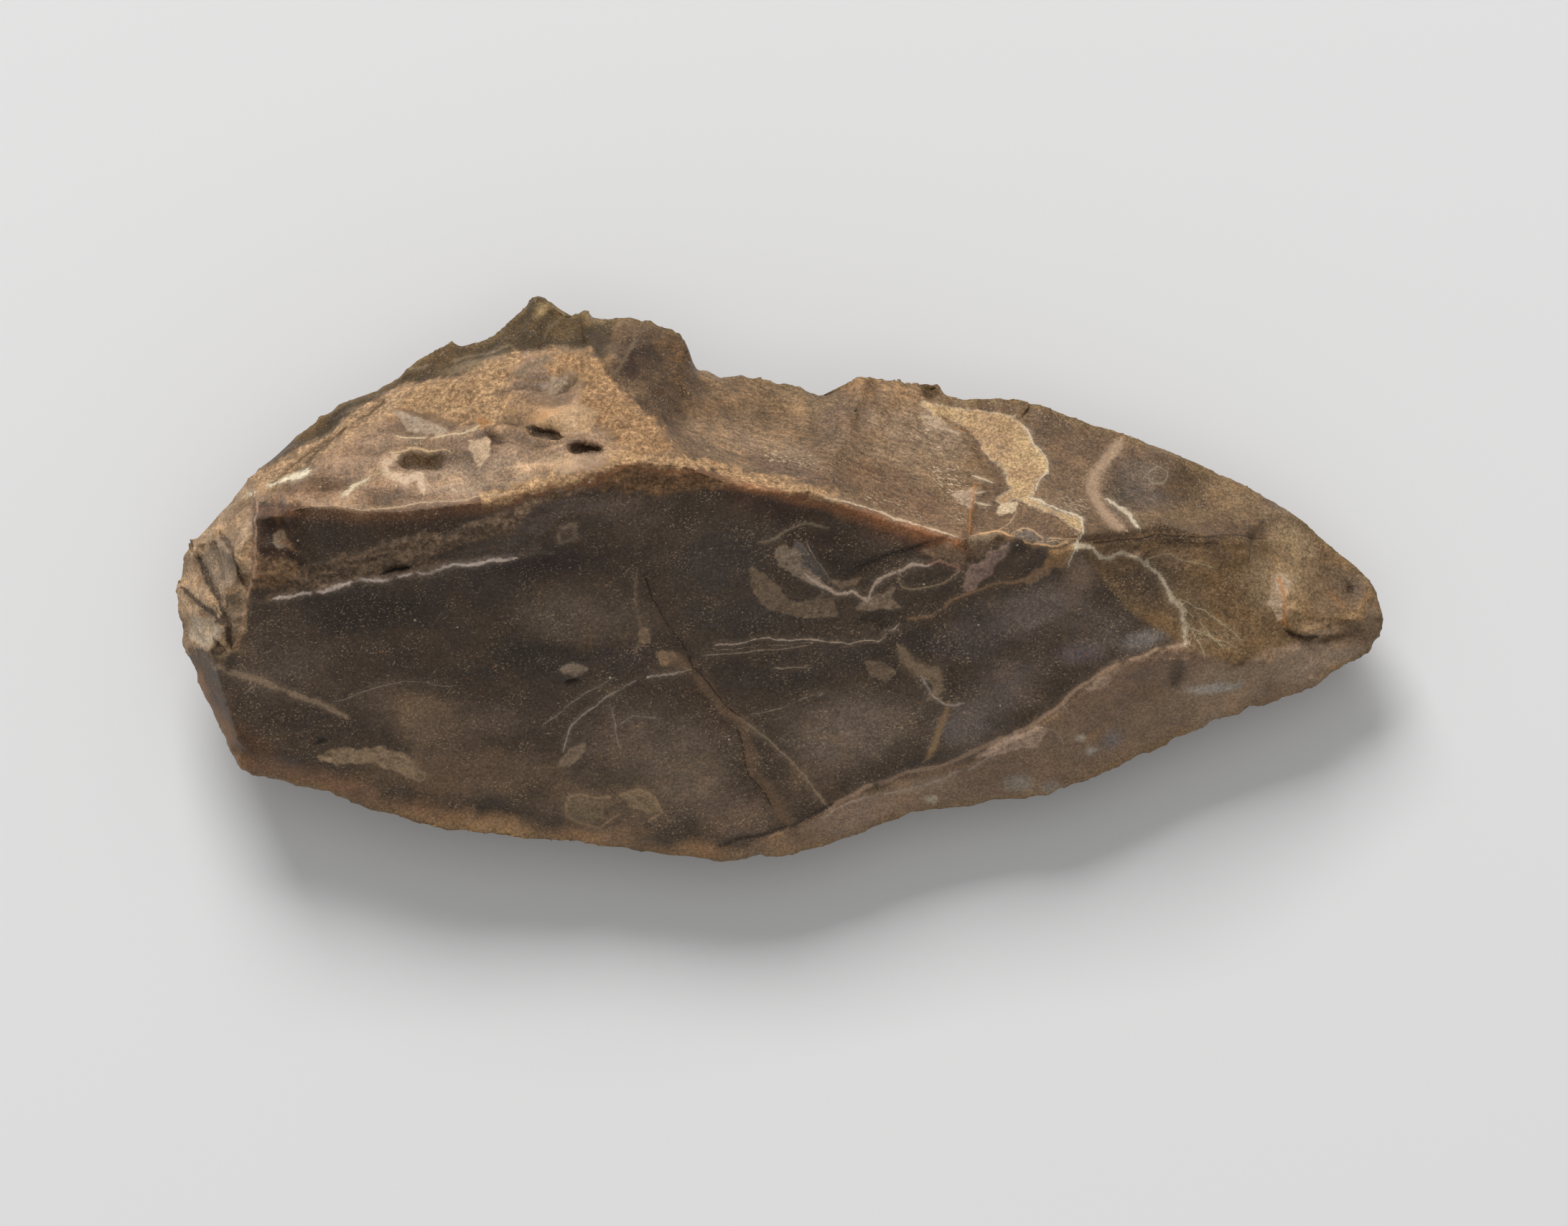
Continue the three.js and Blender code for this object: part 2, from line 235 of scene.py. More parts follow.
# Where clean, glassy flint shows through, and a beige patch of chalky stone.
GLASSY = [
    [(-34, 26.3), (-29, 28.1), (-28.2, 27.2), (-33, 25)],
    [(-31.5, 22.8), (-27, 26), (-24.5, 24.5), (-25, 22), (-29, 21)],
    [(-32, 19), (-29, 21.5), (-24.5, 21.3), (-22.6, 19.5), (-24, 17.6), (-28, 17.8)],
    [(-47, 20.8), (-43, 20.6), (-40.5, 19), (-44, 17.6), (-48, 18.6)],
    [(-27, 14.6), (-23, 15.6), (-21, 14.4), (-24.5, 13.2), (-27.5, 13.2)],
    [(26.4, 2.2), (28.6, 4.6), (31.4, 3.6), (30, 1.2), (27.6, -0.2)],
    [(31.4, 4.6), (34.6, 4.8), (35.4, 3), (32.4, 2.6)],
]
BEIGE_PATCH = [
    (17, 21.9), (20.6, 21.6), (24.2, 20.8), (28.9, 20.3), (30.2, 18.7), (30.8, 16.8), (32.7, 14.9),
    (32.4, 13.3), (31.2, 11.4), (30.5, 10.1), (32.1, 9.2), (37.2, 7.3), (36.9, 6), (31.8, 8.8),
    (28.6, 10.1), (26.8, 9.1), (26.4, 10.1), (28.3, 11.1), (26.7, 14.3), (24.2, 17.1), (21.3, 18.7),
    (19.1, 20.3)]
# Tan patches: their colour and outline.
TAN = [
    ("#b59a7c", [(-38.9, 17.2), (-36.2, 17.4), (-36.3, 15.5), (-37.3, 13.5), (-38.2, 15)]),
    ("#b0906c", [(-30.3, 18.9), (-27.5, 20.6), (-24, 21.4), (-22.6, 20.6), (-23.4, 18.4), (-27.4, 18)]),
    ("#927d66", [(-29.8, 23.6), (-28.4, 25), (-26.9, 25.2), (-26.7, 23.9), (-28.4, 23)]),
    ("#7f6a52", [(-33.4, 25.6), (-29.4, 27.9), (-28.6, 27.4), (-32.4, 25)]),
    ("#a08b74", [(-48, 21), (-45, 20.2), (-41.6, 18.6), (-42.4, 17.9), (-46.6, 18.6)]),
    ("#a9794c", [(-38, 19.3), (-37, 19.7), (-36, 19.3), (-36.8, 18.7)]),
    ("#b9a58c", [(-73.9, -5.4), (-72.6, -4.6), (-70.6, -5), (-69.2, -6.2), (-70.2, -7.9), (-72, -8.2),
                 (-73.6, -6.9)]),
    ("#947f69", [(-72.2, 2.9), (-70.6, 4.2), (-69, 5.2), (-67.9, 2.6), (-67.3, 0), (-69.2, -1.5),
                 (-70.8, 0)]),
    ("#86735e", [(-68.6, -2.4), (-66.8, -1.2), (-66.5, -6), (-67.8, -6.6), (-68.8, -4.6)]),
    ("#5b4836", [(-73.6, -8.3), (-71, -8.8), (-69.3, -7.6), (-68.8, -8.6), (-70.4, -10), (-73.4, -10.4)]),
    ("#7f6e5a", [(-62.7, 5.9), (-61.6, 6.3), (-60.3, 4.1), (-61.4, 4.1), (-62.5, 3.9)]),
    ("#76634f", [(-4.1, 1.5), (-3.9, -1), (-2.1, -3.3), (1.1, -4.4), (3.9, -4.6), (6.9, -4.3), (5.9, -2.6),
                 (4.8, -2.1), (3, -2.8), (2, -3.3), (0.5, -2), (-1, -0.4), (-2.5, 0.8)]),
    ("#8c7966", [(-0.5, 3.8), (-1.1, 2.9), (-0.5, 1.8), (1.1, 0.6), (3, -0.2), (5.7, -1.5), (3.9, 0.6),
                 (2.3, 1.5), (1.8, 3.1), (0.5, 4.3)]),
    ("#5d544e", [(0.9, 4.6), (2.4, 4.4), (3.6, 2.6), (5.4, 0.4), (4.6, 0), (2.6, 1.6), (2.1, 3.2)]),
    ("#897560", [(8.5, -3.5), (11, -2.1), (13.9, -1), (13.5, -2.6), (15.1, -3.5), (12.6, -3.6)]),
    ("#7f6a55", [(5.9, 0.1), (7.1, -0.5), (8.5, -0.3), (10.3, 0.4), (8.4, -0.9), (7, -1.1)]),
    ("#80664f", [(17.4, 3.8), (20.3, 4.5), (22.4, 3.6), (21.9, 1.5), (20.4, 2.6), (18.8, 2.8)]),
    ("#8f7567", [(28.1, 4.9), (26.9, 4), (25.7, 3.7), (24.8, 2.6), (22.9, 1.8), (22.1, -1), (22.9, -2),
                 (23.9, -1.1), (24.6, 0.2), (25.7, 0.6), (26.2, 1.8), (28.1, 3.7)]),
    ("#9a7750", [(32.9, 3.7), (35.9, 4.4), (35.3, 2.2), (33.6, 1.8), (32, 1.4)]),
    ("#75604a", [(23.2, 5.4), (25.4, 6), (26.4, 5.4), (25.2, 4.4), (23.8, 2.8), (23, 3.8)]),
    ("#70655c", [(28.4, 5.6), (30, 6.2), (31.4, 6.1), (33.2, 5.3), (35, 4.9), (33.6, 4.5), (30.4, 4.9)]),
    ("#7d664f", [(29.6, 0.2), (31.6, 1.6), (33.6, 2), (33, 0.9), (30.6, -0.4)]),
    ("#76634f", [(10, -10.4), (12, -10), (14.2, -11.6), (13, -12.8), (11, -12)]),
    ("#8a7055", [(-15.7, -9.2), (-13.6, -8.7), (-12.9, -9.8), (-14.6, -10.6)]),
    ("#877058", [(-18, -6.2), (-16.6, -6.3), (-16.4, -7.8), (-17.6, -8)]),
    ("#8f785e", [(-57.7, -22), (-55, -20.5), (-50, -21), (-47, -21.5), (-44, -24.5), (-44.8, -25.3),
                 (-48, -23.6), (-50.5, -22.8), (-56, -22.9)]),
    ("#7a6959", [(-27.6, -11.2), (-26, -10.3), (-24, -11), (-25.4, -12.1)]),
    ("#5f5148", [(-33, 6.6), (-29, 9.6), (-24, 10.2), (-22, 9), (-27, 7.6), (-30, 5.6)]),
    ("#56493f", [(-44, 2.6), (-38, 4.6), (-32, 5.4), (-28, 3.2), (-34, 3), (-40, 1.8)]),
    ("#7b6850", [(-27, -28), (-24.6, -26.9), (-22.4, -27.6), (-22, -29.4), (-24.6, -30.2), (-26.8, -29.6)]),
    ("#857056", [(-20, -26.9), (-17.4, -26.2), (-15.4, -27.6), (-15.8, -29.4), (-17, -28.4),
                 (-18.6, -27.9)]),
    ("#84705b", [(-27.9, -22.6), (-26.4, -21), (-24.6, -20.2), (-24.4, -21), (-26, -22.8), (-27.4, -23.3)]),
    ("#ad957a", [(60.8, 0.6), (62.4, 1), (63, -0.4), (62.2, -2.6), (62.8, -4.6), (61.4, -5.2),
                 (60.2, -3), (60.6, -1)]),
    ("#b0947e", [(23.8, -22), (26.7, -19.9), (31.5, -17.9), (32.4, -18.5), (31.5, -20.7),
                 (28.6, -21.2), (26.1, -21.7)]),
    ("#ab8f78", [(37.6, -13.6), (39.6, -12), (41, -11), (40.6, -12.4), (39.2, -13.6)]),
    ("#a89078", [(20.6, 10.6), (23.9, 11.4), (23.8, 9.4), (22.8, 8.8)]),
    ("#c2ab8b", [(26.6, 9.8), (28.8, 9.6), (28.6, 8.4), (26.9, 8)]),
    ("#b7a68f", [(17.6, -27), (18.8, -26.7), (19.3, -27.4), (18.9, -28.1), (17.9, -28)]),
]

# A cluster of small fossils.
CLUSTER = [(7.5, -4.2), (9.5, -3.8), (14.5, -4.3), (16, -5.4), (14, -6.8), (9.5, -6.9)]

# Lines: half their width, their colour, how strong it is, and their way. Veins are thin and pale, and one
# line among them is a painted highlight along the ridge's crest.
VEINS_AND_RIDGE_HIGHLIGHT = [
    (0.26, "#b5a497", 0.85, [(-62.2, -2.5), (-56.7, -1.35), (-52.6, -0.4), (-48.5, -0.1), (-45.3, 1),
                            (-43, 0.9), (-40.5, 2), (-37, 2), (-33.2, 2.6)]),
    (0.34, "#ecdcbc", 1, [(-63.2, 11.9), (-61, 12.4), (-58.6, 13.4)]),
    (0.24, "#d8c6a6", 0.8, [(-53.9, 10.3), (-52.8, 11.5), (-51.3, 12.3)]),
    (0.3, "#e0cba6", 0.9, [(-66.6, 10.4), (-65.4, 10.9)]),
    (0.14, "#d9bf98", 0.7, [(-47.7, 17.8), (-44, 17.4), (-41.3, 18), (-37.5, 18.8)]),
    (0.14, "#cfae84", 0.7, [(-48, 15.8), (-45, 16.4), (-41.2, 15.6)]),
    (0.22, "#bfa793", 0.85, [(3.2, 0.2), (4.8, -0.9), (6.6, -1.9), (8.5, -1.5), (10.3, -2.6), (11.2, -0.7),
                            (13.5, 0.5), (15.1, 1.3), (16.2, 2.1), (18.1, 2)]),
    (0.2, "#9a7460", 0.75, [(17.8, 2), (19.2, 2.5), (20.3, 1.9), (21.9, 1.2)]),
    (0.2, "#7f6d59", 0.75, [(-2.7, 4.4), (-0.7, 4.9), (-0.2, 5.4), (1.1, 6.3), (2.7, 6.7), (5.5, 6.2)]),
    (0.09, "#95877a", 0.7, [(3, 4.3), (4.4, 2), (5.7, 0.2)]),
    (0.16, "#8f7a62", 0.7, [(14.4, 0.6), (14.8, -0.8), (16, -1.2), (18.4, -0.8), (20.4, -0.2),
                            (21.9, 1.2)]),
    (0.11, "#b09b86", 0.8, [(-8, -8.1), (-1.4, -7.2), (3.4, -7.4), (11.7, -7.7), (13.9, -5.8)]),
    (0.09, "#9a8670", 0.6, [(-9.4, -9.4), (-4.6, -9), (2.8, -8.2)]),
    (0.09, "#9c8872", 0.6, [(-3.6, -16.6), (0.8, -15.5), (5, -14)]),
    (0.1, "#9c8872", 0.55, [(-0.8, -11.2), (2.4, -11)]),
    (0.14, "#a29182", 0.75, [(-11.9, -11.3), (-15.4, -11.8), (-18.9, -13.1), (-21.5, -14.4),
                             (-24.3, -16.3), (-26.2, -18.5), (-27.2, -21)]),
    (0.1, "#a29182", 0.55, [(-21.3, -16.3), (-20.3, -20.4)]),
    (0.08, "#958677", 0.5, [(-29.8, -18), (-25, -14.6), (-21, -12.4)]),
    (0.08, "#958677", 0.45, [(-20.4, -17.8), (-18.4, -16.8), (-15.6, -17.4)]),
    (0.07, "#958677", 0.45, [(-55, -15), (-47, -12.6), (-41, -13)]),
    (0.17, "#9d8f84", 0.7, [(17.3, -12.3), (18.2, -14.2), (19.5, -15.4), (22, -15.4)]),
    (0.3, "#bfae94", 0.8, [(36.5, 4.3), (38.1, 4.1), (39.1, 3), (40.4, 2.6), (42.3, 3.3), (44.1, 2.2),
                            (46.5, 0.9), (47.5, -0.9), (48, -2.7), (49.3, -3.5), (49.6, -5.6),
                            (49.9, -7.7)]),
    (0.08, "#b3a382", 0.6, [(47.8, -1.5), (50, -4), (52.2, -6.1), (54.8, -8.7)]),
    (0.08, "#b3a382", 0.6, [(49, -2.6), (53.3, -4.6), (56.9, -7.4)]),
    (0.08, "#b3a382", 0.6, [(49.4, -4.5), (51, -7), (52.4, -9.4)]),
    (0.08, "#b3a382", 0.6, [(48.5, -3), (50.8, -6.2), (55.6, -8.2)]),
    (0.08, "#b3a382", 0.5, [(44.1, 2.2), (48, 3.2), (53, 1.6)]),
    (0.16, "#decdb2", 0.75, [(30.5, 10.1), (32.6, 9.4), (37.1, 7.4), (36.9, 5.9), (35.8, 4.2)]),
    (0.13, "#dac9ad", 0.55, [(28.9, 20.4), (30.3, 18.7), (30.9, 16.8), (32.8, 14.9), (32.5, 13.3),
                             (31.2, 11.4)]),
    (0.24, "#d0bfa4", 0.85, [(40.4, 9.8), (42.6, 8.6), (43.8, 6.6)]),
    (0.16, "#a59282", 0.7, [(26, -21.9), (20.3, -24.6), (15.6, -25.8), (10.1, -26.8), (5, -29.6)]),
    (0.1, "#a8917a", 0.6, [(32, -18.2), (33.8, -18.9), (34.6, -20.2)]),
    (0.08, "#a8917a", 0.5, [(34.5, -15.5), (36.5, -17.6)]),
    (0.08, "#a8917a", 0.5, [(41.4, -10.2), (42.3, -12.4), (43.4, -13)]),
    (0.08, "#a8917a", 0.5, [(39.6, -12.6), (42, -14.6), (44.6, -15)]),
    (0.17, "#d3a877", 0.8, [(22.6, 4.9), (25.7, 6.1), (26.9, 6.1), (28.1, 5.5), (30.3, 4.7), (33.7, 4.3),
                            (35.9, 5.2)]),
    (0.12, "#cda983", 0.7, [(28.6, 5.9), (29.8, 6.3), (31.1, 6.3), (32.3, 5.5), (35.4, 5.2)]),
    (0.13, "#ddceb2", 0.85, [(36.1, 4.6), (35.8, 3.4), (35.4, 2.1)]),
    (0.1, "#b99a78", 0.6, [(26.2, 6.2), (27.8, 6.9), (28.8, 8)]),
    (0.13, "#b0703a", 0.7, [(23.9, 11.6), (23.2, 9.6), (22.9, 7.6), (22.7, 4.7)]),
    (0.16, "#b8753c", 0.85, [(61.8, -0.1), (62.3, -2.5), (62.4, -5.6)]),
    (0.12, "#a5703f", 0.5, [(65.6, -6.1), (68.2, -5.9)]),
    (0.16, "#8f5f33", 0.7, [(19.7, 20), (21.2, 19), (22.6, 18.1)]),
    (0.1, "#b0703a", 0.4, [(68, -1.6), (69.2, -3)]),
    (0.25, "#8a765a", 0.45, [(-41, 27), (-37, 28.2), (-33.6, 29)]),
    (0.25, "#8a765a", 0.45, [(-52, 23.6), (-47.6, 26), (-44, 26.6)]),
    (0.3, "#7c684e", 0.4, [(-29.4, 30), (-27.4, 32.4), (-24.6, 34.4)]),
    (0.3, "#7c684e", 0.4, [(-20.4, 26), (-18.4, 29.4), (-18.6, 33)]),
    # This line is a painted highlight along the ridge's crest.
    (0.13, "#d9bfa0", 0.7, [(5, 10.4), (9, 9.3), (14, 7.5), (18, 6.3), (22.5, 4.9)]),
    (0.12, "#cdb190", 0.5, [(-58, 9.1), (-50, 8.7), (-40, 9.6), (-34, 10.6)]),
    (0.18, "#a8866c", 0.8, [(-64.9, 9.5), (-65, 1.6), (-66.2, -3.2), (-67.7, -8.2)]),
]
# Bands are wider and softer: seams, the rims of fossils and the fill of old cracks.
BANDS = [
    (0.55, "#cdb193", 0.95, [(-47.8, 15.2), (-49, 14.3), (-48.6, 12.9), (-46.5, 12.3), (-44.8, 12.6),
                             (-44.2, 11)]),
    (0.3, "#84705c", 0.6, [(-27.4, 6.4), (-25.4, 6.6), (-25.2, 5.2), (-27.2, 4.6), (-27.6, 5.6)]),
    (0.24, "#8e6e52", 0.7, [(15.6, -5), (18.7, -4.3), (21, -2.9), (23.2, -1.6), (26.4, -0.5), (30.5, 0.4),
                            (33.1, 1.9), (35.5, 2.2)]),
    (0.75, "#857059", 0.85, [(14.6, -8.6), (15.5, -10.2), (17.5, -11.6), (18.9, -11.4), (19.3, -13),
                             (18.4, -14.3)]),
    (0.4, "#8f7352", 0.8, [(20.3, -15.6), (20, -16.6), (19.4, -18.2), (18.9, -20.4), (18.1, -22)]),
    (0.8, "#755d48", 0.75, [(-12.9, -9.9), (-11.3, -10.6), (-9.7, -12.8), (-7.8, -15.3), (-5.2, -17.9),
                             (-4.3, -21.7), (-3.6, -23.9), (-2, -25.5), (-0.8, -27.8), (1.2, -30.9)]),
    (0.25, "#7d6752", 0.6, [(-18.2, 0.5), (-18, -4.5), (-17.5, -6.7), (-18.2, -8.6)]),
    (0.42, "#937c64", 0.8, [(-69.8, -10.8), (-67.6, -11.5), (-63.1, -12.9), (-59.3, -14.5),
                            (-54.2, -16.6)]),
    (0.22, "#93795d", 0.8, [(-21.8, -27), (-24.5, -26.6), (-26.8, -27.4), (-27, -29.2), (-25.5, -30.2),
                            (-22.5, -30.6), (-20.6, -29.2)]),
    (0.22, "#93795d", 0.8, [(-20, -26.8), (-18, -26), (-16, -26.9), (-15, -28.8), (-16.4, -29.8)]),
    (0.75, "#a98d72", 0.85, [(41.75, 16.9), (40.4, 15.3), (39.1, 13.7), (38.6, 12.2), (38.6, 10.3),
                             (39.9, 8.2), (41.7, 6.7)]),
    (0.12, "#9a8a74", 0.6, [(45.4, 13.2), (46.4, 14.1), (47.6, 13.3), (47.3, 12), (46.2, 11.8),
                            (45.5, 12.4)]),
    (0.3, "#a3866d", 0.8, [(6.3, -28), (10.1, -25.8), (15.2, -23.9), (19.7, -23.3), (26.7, -19.8),
                           (31.8, -17.2), (36.3, -13.7), (41.4, -10.1), (45.2, -9), (49.6, -7.9)]),
    (0.3, "#bfa689", 0.75, [(17.4, 20.2), (21, 19.4)]),
    (0.25, "#bfa689", 0.75, [(18.6, 19), (21.6, 18)]),
    (0.17, "#8a7560", 0.7, [(-5.6, -17.4), (-2, -19.6), (0.6, -22), (3.4, -25.4), (5.8, -28.6)]),
    (0.16, "#cbb698", 0.8, [(24, 12.9), (25.6, 12.2)]),
    (0.18, "#cbb698", 0.8, [(24.2, 11), (25.2, 11)]),
    (0.18, "#cbb698", 0.8, [(24.1, 9.6), (25.2, 9.3)]),
    (0.4, "#6f5138", 0.7, [(-62.6, 9), (-61.8, 5.4), (-60.4, 4)]),
]
# Cracks are thin and dark, and some lines among them are painted shadows: under overhangs and steps, and in
# the butt's grooves.
CRACKS_AND_PAINTED_SHADOWS = [
    # These two lines are painted shadows under the rind's overhanging lumps.
    (0.3, "#2b1c10", 0.9, [(-31.2, 18.8), (-29.5, 18.3), (-27.5, 17.8)]),
    (0.4, "#2e1e11", 0.9, [(-25.6, 16.4), (-24.3, 15.8), (-22.6, 15.9)]),
    (0.3, "#1d1612", 0.9, [(-48.8, 0.9), (-47.5, 1.3), (-46.2, 1.6)]),
    (0.1, "#1f1712", 0.6, [(-11.5, -9.6), (-11, -11), (-8.9, -13.2), (-7, -15.6), (-5.4, -17)]),
    (0.09, "#2a1c12", 0.6, [(-5.6, -19), (-4.9, -21.9), (-4.2, -24.2), (-2.6, -26), (-1.5, -28)]),
    (0.07, "#221913", 0.45, [(-17, 0.2), (-16.2, -2.6), (-13.6, -6.2), (-12, -8.6)]),
    # This line is a painted shadow under the step of the hollow below the ridge.
    (0.14, "#1c1410", 0.5, [(9.4, 1.7), (13, 3), (18, 4.6)]),
    # This line is a painted shadow under the knob near the tip.
    (0.26, "#3a281a", 0.85, [(62.6, -6.5), (64, -7.1), (66, -7)]),
    (0.24, "#58452f", 0.7, [(-58.5, 14.8), (-54, 18.6), (-49.5, 22.2)]),
    (0.16, "#58452f", 0.6, [(-63, 12.2), (-59, 15.4), (-56, 17.4)]),
    (0.16, "#5a4433", 0.6, [(-36.4, 18.2), (-35.2, 16.6), (-33.4, 16.8)]),
    # These three lines are painted shade in the butt's grooves.
    (0.42, "#33261b", 0.85, [(-72.2, 2.6), (-71, -0.2), (-69.4, -2.8), (-68.6, -5.6), (-68.2, -7.6)]),
    (0.36, "#33261b", 0.85, [(-74.2, -1.3), (-72.4, -3), (-70.6, -4.2), (-69.1, -5.4)]),
    (0.3, "#3b2c20", 0.75, [(-69.2, 5.5), (-67.9, 3.6), (-67.4, 1.6), (-66.6, -0.3)]),
    (0.25, "#2e2622", 0.5, [(-8, -32.8), (-3, -32), (0.8, -30.8), (5.6, -28.2)]),
    # This line is a painted shadow along the step at the beige patch's edge.
    (0.2, "#4b3423", 0.6, [(20.3, 20.1), (22.4, 18.6), (24.2, 17)]),
    # This line is a painted shadow under the ridge line near the tip.
    (0.12, "#2b2018", 0.5, [(38.6, 4.6), (46, 5.2), (52, 5.5), (59, 5.2)]),
]


def beside(spots, line):
    """How far each spot is from a line in plan, more than 0 on the line's left and less on its right."""
    least = np.full(len(spots), np.inf)
    side = np.ones(len(spots))
    for start, end in itertools.pairwise(np.array(line, float)):
        way = end - start
        offset = spots - start
        share = np.clip(offset @ way / (way @ way), 0, 1)
        away = np.linalg.norm(offset - share[:, None] * way, axis=1)
        closer = away < least
        least[closer] = away[closer]
        side[closer] = np.where(way[0] * offset[closer, 1] > way[1] * offset[closer, 0], 1, -1)
    return least * side


def within(spots, outline):
    """How deep each spot lies inside an outline in plan, and less than 0 outside it."""
    closed = list(outline) + [outline[0]]
    odd = np.zeros(len(spots), bool)
    x, y = spots.T
    for (x0, y0), (x1, y1) in itertools.pairwise(closed):
        if y0 != y1:
            odd ^= ((y0 > y) != (y1 > y)) & (x < x0 + (y - y0) * (x1 - x0) / (y1 - y0))
    return np.where(odd, 1, -1) * np.abs(beside(spots, closed))


def deepest(spots, outlines):
    """How deep each spot lies inside the outline that holds it best."""
    return np.max([within(spots, outline) for outline in outlines], axis=0)


def nearest(spots, lines):
    """For the nearest of some lines: which, how many half-widths to its left, and how far past its edge."""
    sides = np.array([beside(spots, way) for _, _, _, way in lines])
    halves = np.array([half for half, _, _, _ in lines])[:, None]
    pick = np.argmin(np.abs(sides) - halves, axis=0)
    chosen = sides[pick, np.arange(len(spots))]
    half = halves[pick, 0]
    return pick, chosen / half, np.abs(chosen) - half


# ---- The relief ----
# What is too fine for the solid: ripples in the scars, nibbled rims, sandy grain, pits, steps and cracks.
# All of it is in mm: a noise is given the size of its lumps, how many layers it has, and its seed, and is
# multiplied by how high it stands.

HASH_STEPS = np.array((73856093, 19349663, 83492791))
HASH_SEED = 2654435761
HASH_MIX = 1274126177
LAST_16_BITS = 65535


def noise(spots, size, seed=0):
    """Smooth noise from -1 to 1 at each spot, in lumps about as big as size."""
    cell = spots / size
    low = np.floor(cell).astype(np.int64)
    part = cell - low
    part = part * part * (3 - 2 * part)
    total = 0
    for corner in itertools.product((0, 1), repeat=3):
        key = (low + corner) @ HASH_STEPS + seed * HASH_SEED
        key = (key ^ (key >> 13)) * HASH_MIX
        value = ((key ^ (key >> 16)) & LAST_16_BITS) / (LAST_16_BITS / 2) - 1
        total = total + value * np.prod(np.where(corner, part, 1 - part), axis=1)
    return total


def layered(spots, size, layers=3, seed=0):
    """Noise with finer and fainter noise on it."""
    return sum(noise(spots, size / 2**i, seed + i) / 2**i for i in range(layers)) / (2 - 2 / 2**layers)


def ramp(value, low, high):
    """0 at low, 1 at high, and smooth between them."""
    share = np.clip((value - low) / (high - low), 0, 1)
    return share * share * (3 - 2 * share)


def terraced(value, steps):
    """The same range of values, in flat steps with short slopes between them."""
    level = np.floor(value * steps)
    return (level + ramp(value * steps - level, 0.3, 0.7)) / steps


def strike(spots, place, out, radius, depth):
    """Chips a ball-shaped hollow of that radius and depth into the stone, from the side it faces."""
    out = out / np.linalg.norm(out)
    centre = place + out * (radius - depth)
    near = np.flatnonzero(np.abs(spots - centre).max(axis=1) < radius)
    away = spots[near] - centre
    height = away @ out
    aside = radius**2 - (away**2).sum(axis=1) + height**2
    inside = (aside > 0) & (height > -np.sqrt(np.maximum(aside, 0)))
    drop = height[inside] + np.sqrt(aside[inside])
    spots[near[inside]] -= out * drop[:, None]


spots = read(stone.data.vertices, "co", 3) / MM
facing = read(stone.data.vertex_normals, "vector", 3)
dice = np.random.default_rng(7)
ridged_face = ramp(facing[:, 2], 0, 0.15)


def wander(spots):
    """Places in plan, shifted a little, so that what is mapped on them isn't ruled straight."""
    sideways = [0.34 * noise(spots, 2.6, seed) + 0.13 * noise(spots, 0.9, seed + 1) for seed in (71, 73)]
    return spots[:, :2] + np.column_stack(sideways)


plan = wander(spots)

# Broad unevenness, fading out where the stone rests on the table.
clear = ramp(spots[:, 2], 0.2, 4)
lift = clear * (0.35 * noise(spots, 14, 1) + 0.16 * noise(spots, 6, 2) + 0.05 * layered(spots, 2.2, 2, 3))

# The rind is in flaky layers, with streaks that run up to the right, and its sandy patches are grainy.
STREAKS = np.array([[0.35, 0.9, 0], [0.22, -1.4, 0], [0, 0, 0.3]])
rind = ridged_face * ramp(within(plan, RIND), -0.5, 1)
sand = deepest(plan, [outline for _, outline in SANDY]) + 0.5 * noise(spots, 1.5, 5)
sand = ridged_face * np.maximum(ramp(sand, -0.3, 0.6), ramp(np.abs(beside(plan, CREST_SAND)), 1.1, 0.4))
detail = rind * (1.1 * terraced(layered(spots, 5, 4, 11), 7) + 0.5 * layered(spots @ STREAKS.T, 1.5, 3, 13))
detail += sand * (0.3 * layered(spots, 1.2, 2, 17) + 0.16 * noise(spots, 0.6, 19))

# The scars along the notched edge have fine ribs, and everything else is faintly layered.
detail += (1 - rind) * ridged_face * 0.22 * terraced(layered(spots, 4.5, 3, 21), 6)
trimmed = ridged_face * ramp(within(plan, DARK_FACE), 0, -1) * ramp(plan[:, 1], 15, 20) * (1 - rind)
detail += trimmed * 0.5 * layered(spots * (1, 0.3, 0.5), 1.9, 3, 25)

# The butt is torn into slanting ribs.
RIBS = np.array([[0.95, 0.75, 0.2], [-0.12, 0.3, 0], [0.1, 0, 0.3]])
butt = ridged_face * ramp(within(plan, BUTT), -0.3, 0.8)
hollow = ridged_face * ramp(within(plan, BUTT_HOLLOW), -0.3, 0.8)
ribs = spots @ RIBS.T
detail += butt * (0.5 * terraced(noise(ribs, 2.6, 23), 4) + 0.2 * layered(ribs, 1.3, 2, 27))
detail += (butt + hollow) * 0.12 * layered(spots, 0.8, 2, 29)
detail += hollow * 0.5 * layered(spots * (1, 0.25, 1), 1.6, 2, 33)

# Veins, with the painted ridge highlight among them, stand a little proud, and cracks, with the painted
# shadow lines, are cut in.
detail += 0.06 * ridged_face * ramp(nearest(plan, VEINS_AND_RIDGE_HIGHLIGHT)[2], 0.35, -0.1)
detail -= 0.14 * ridged_face * ramp(nearest(plan, CRACKS_AND_PAINTED_SHADOWS)[2], 0.35, -0.2)

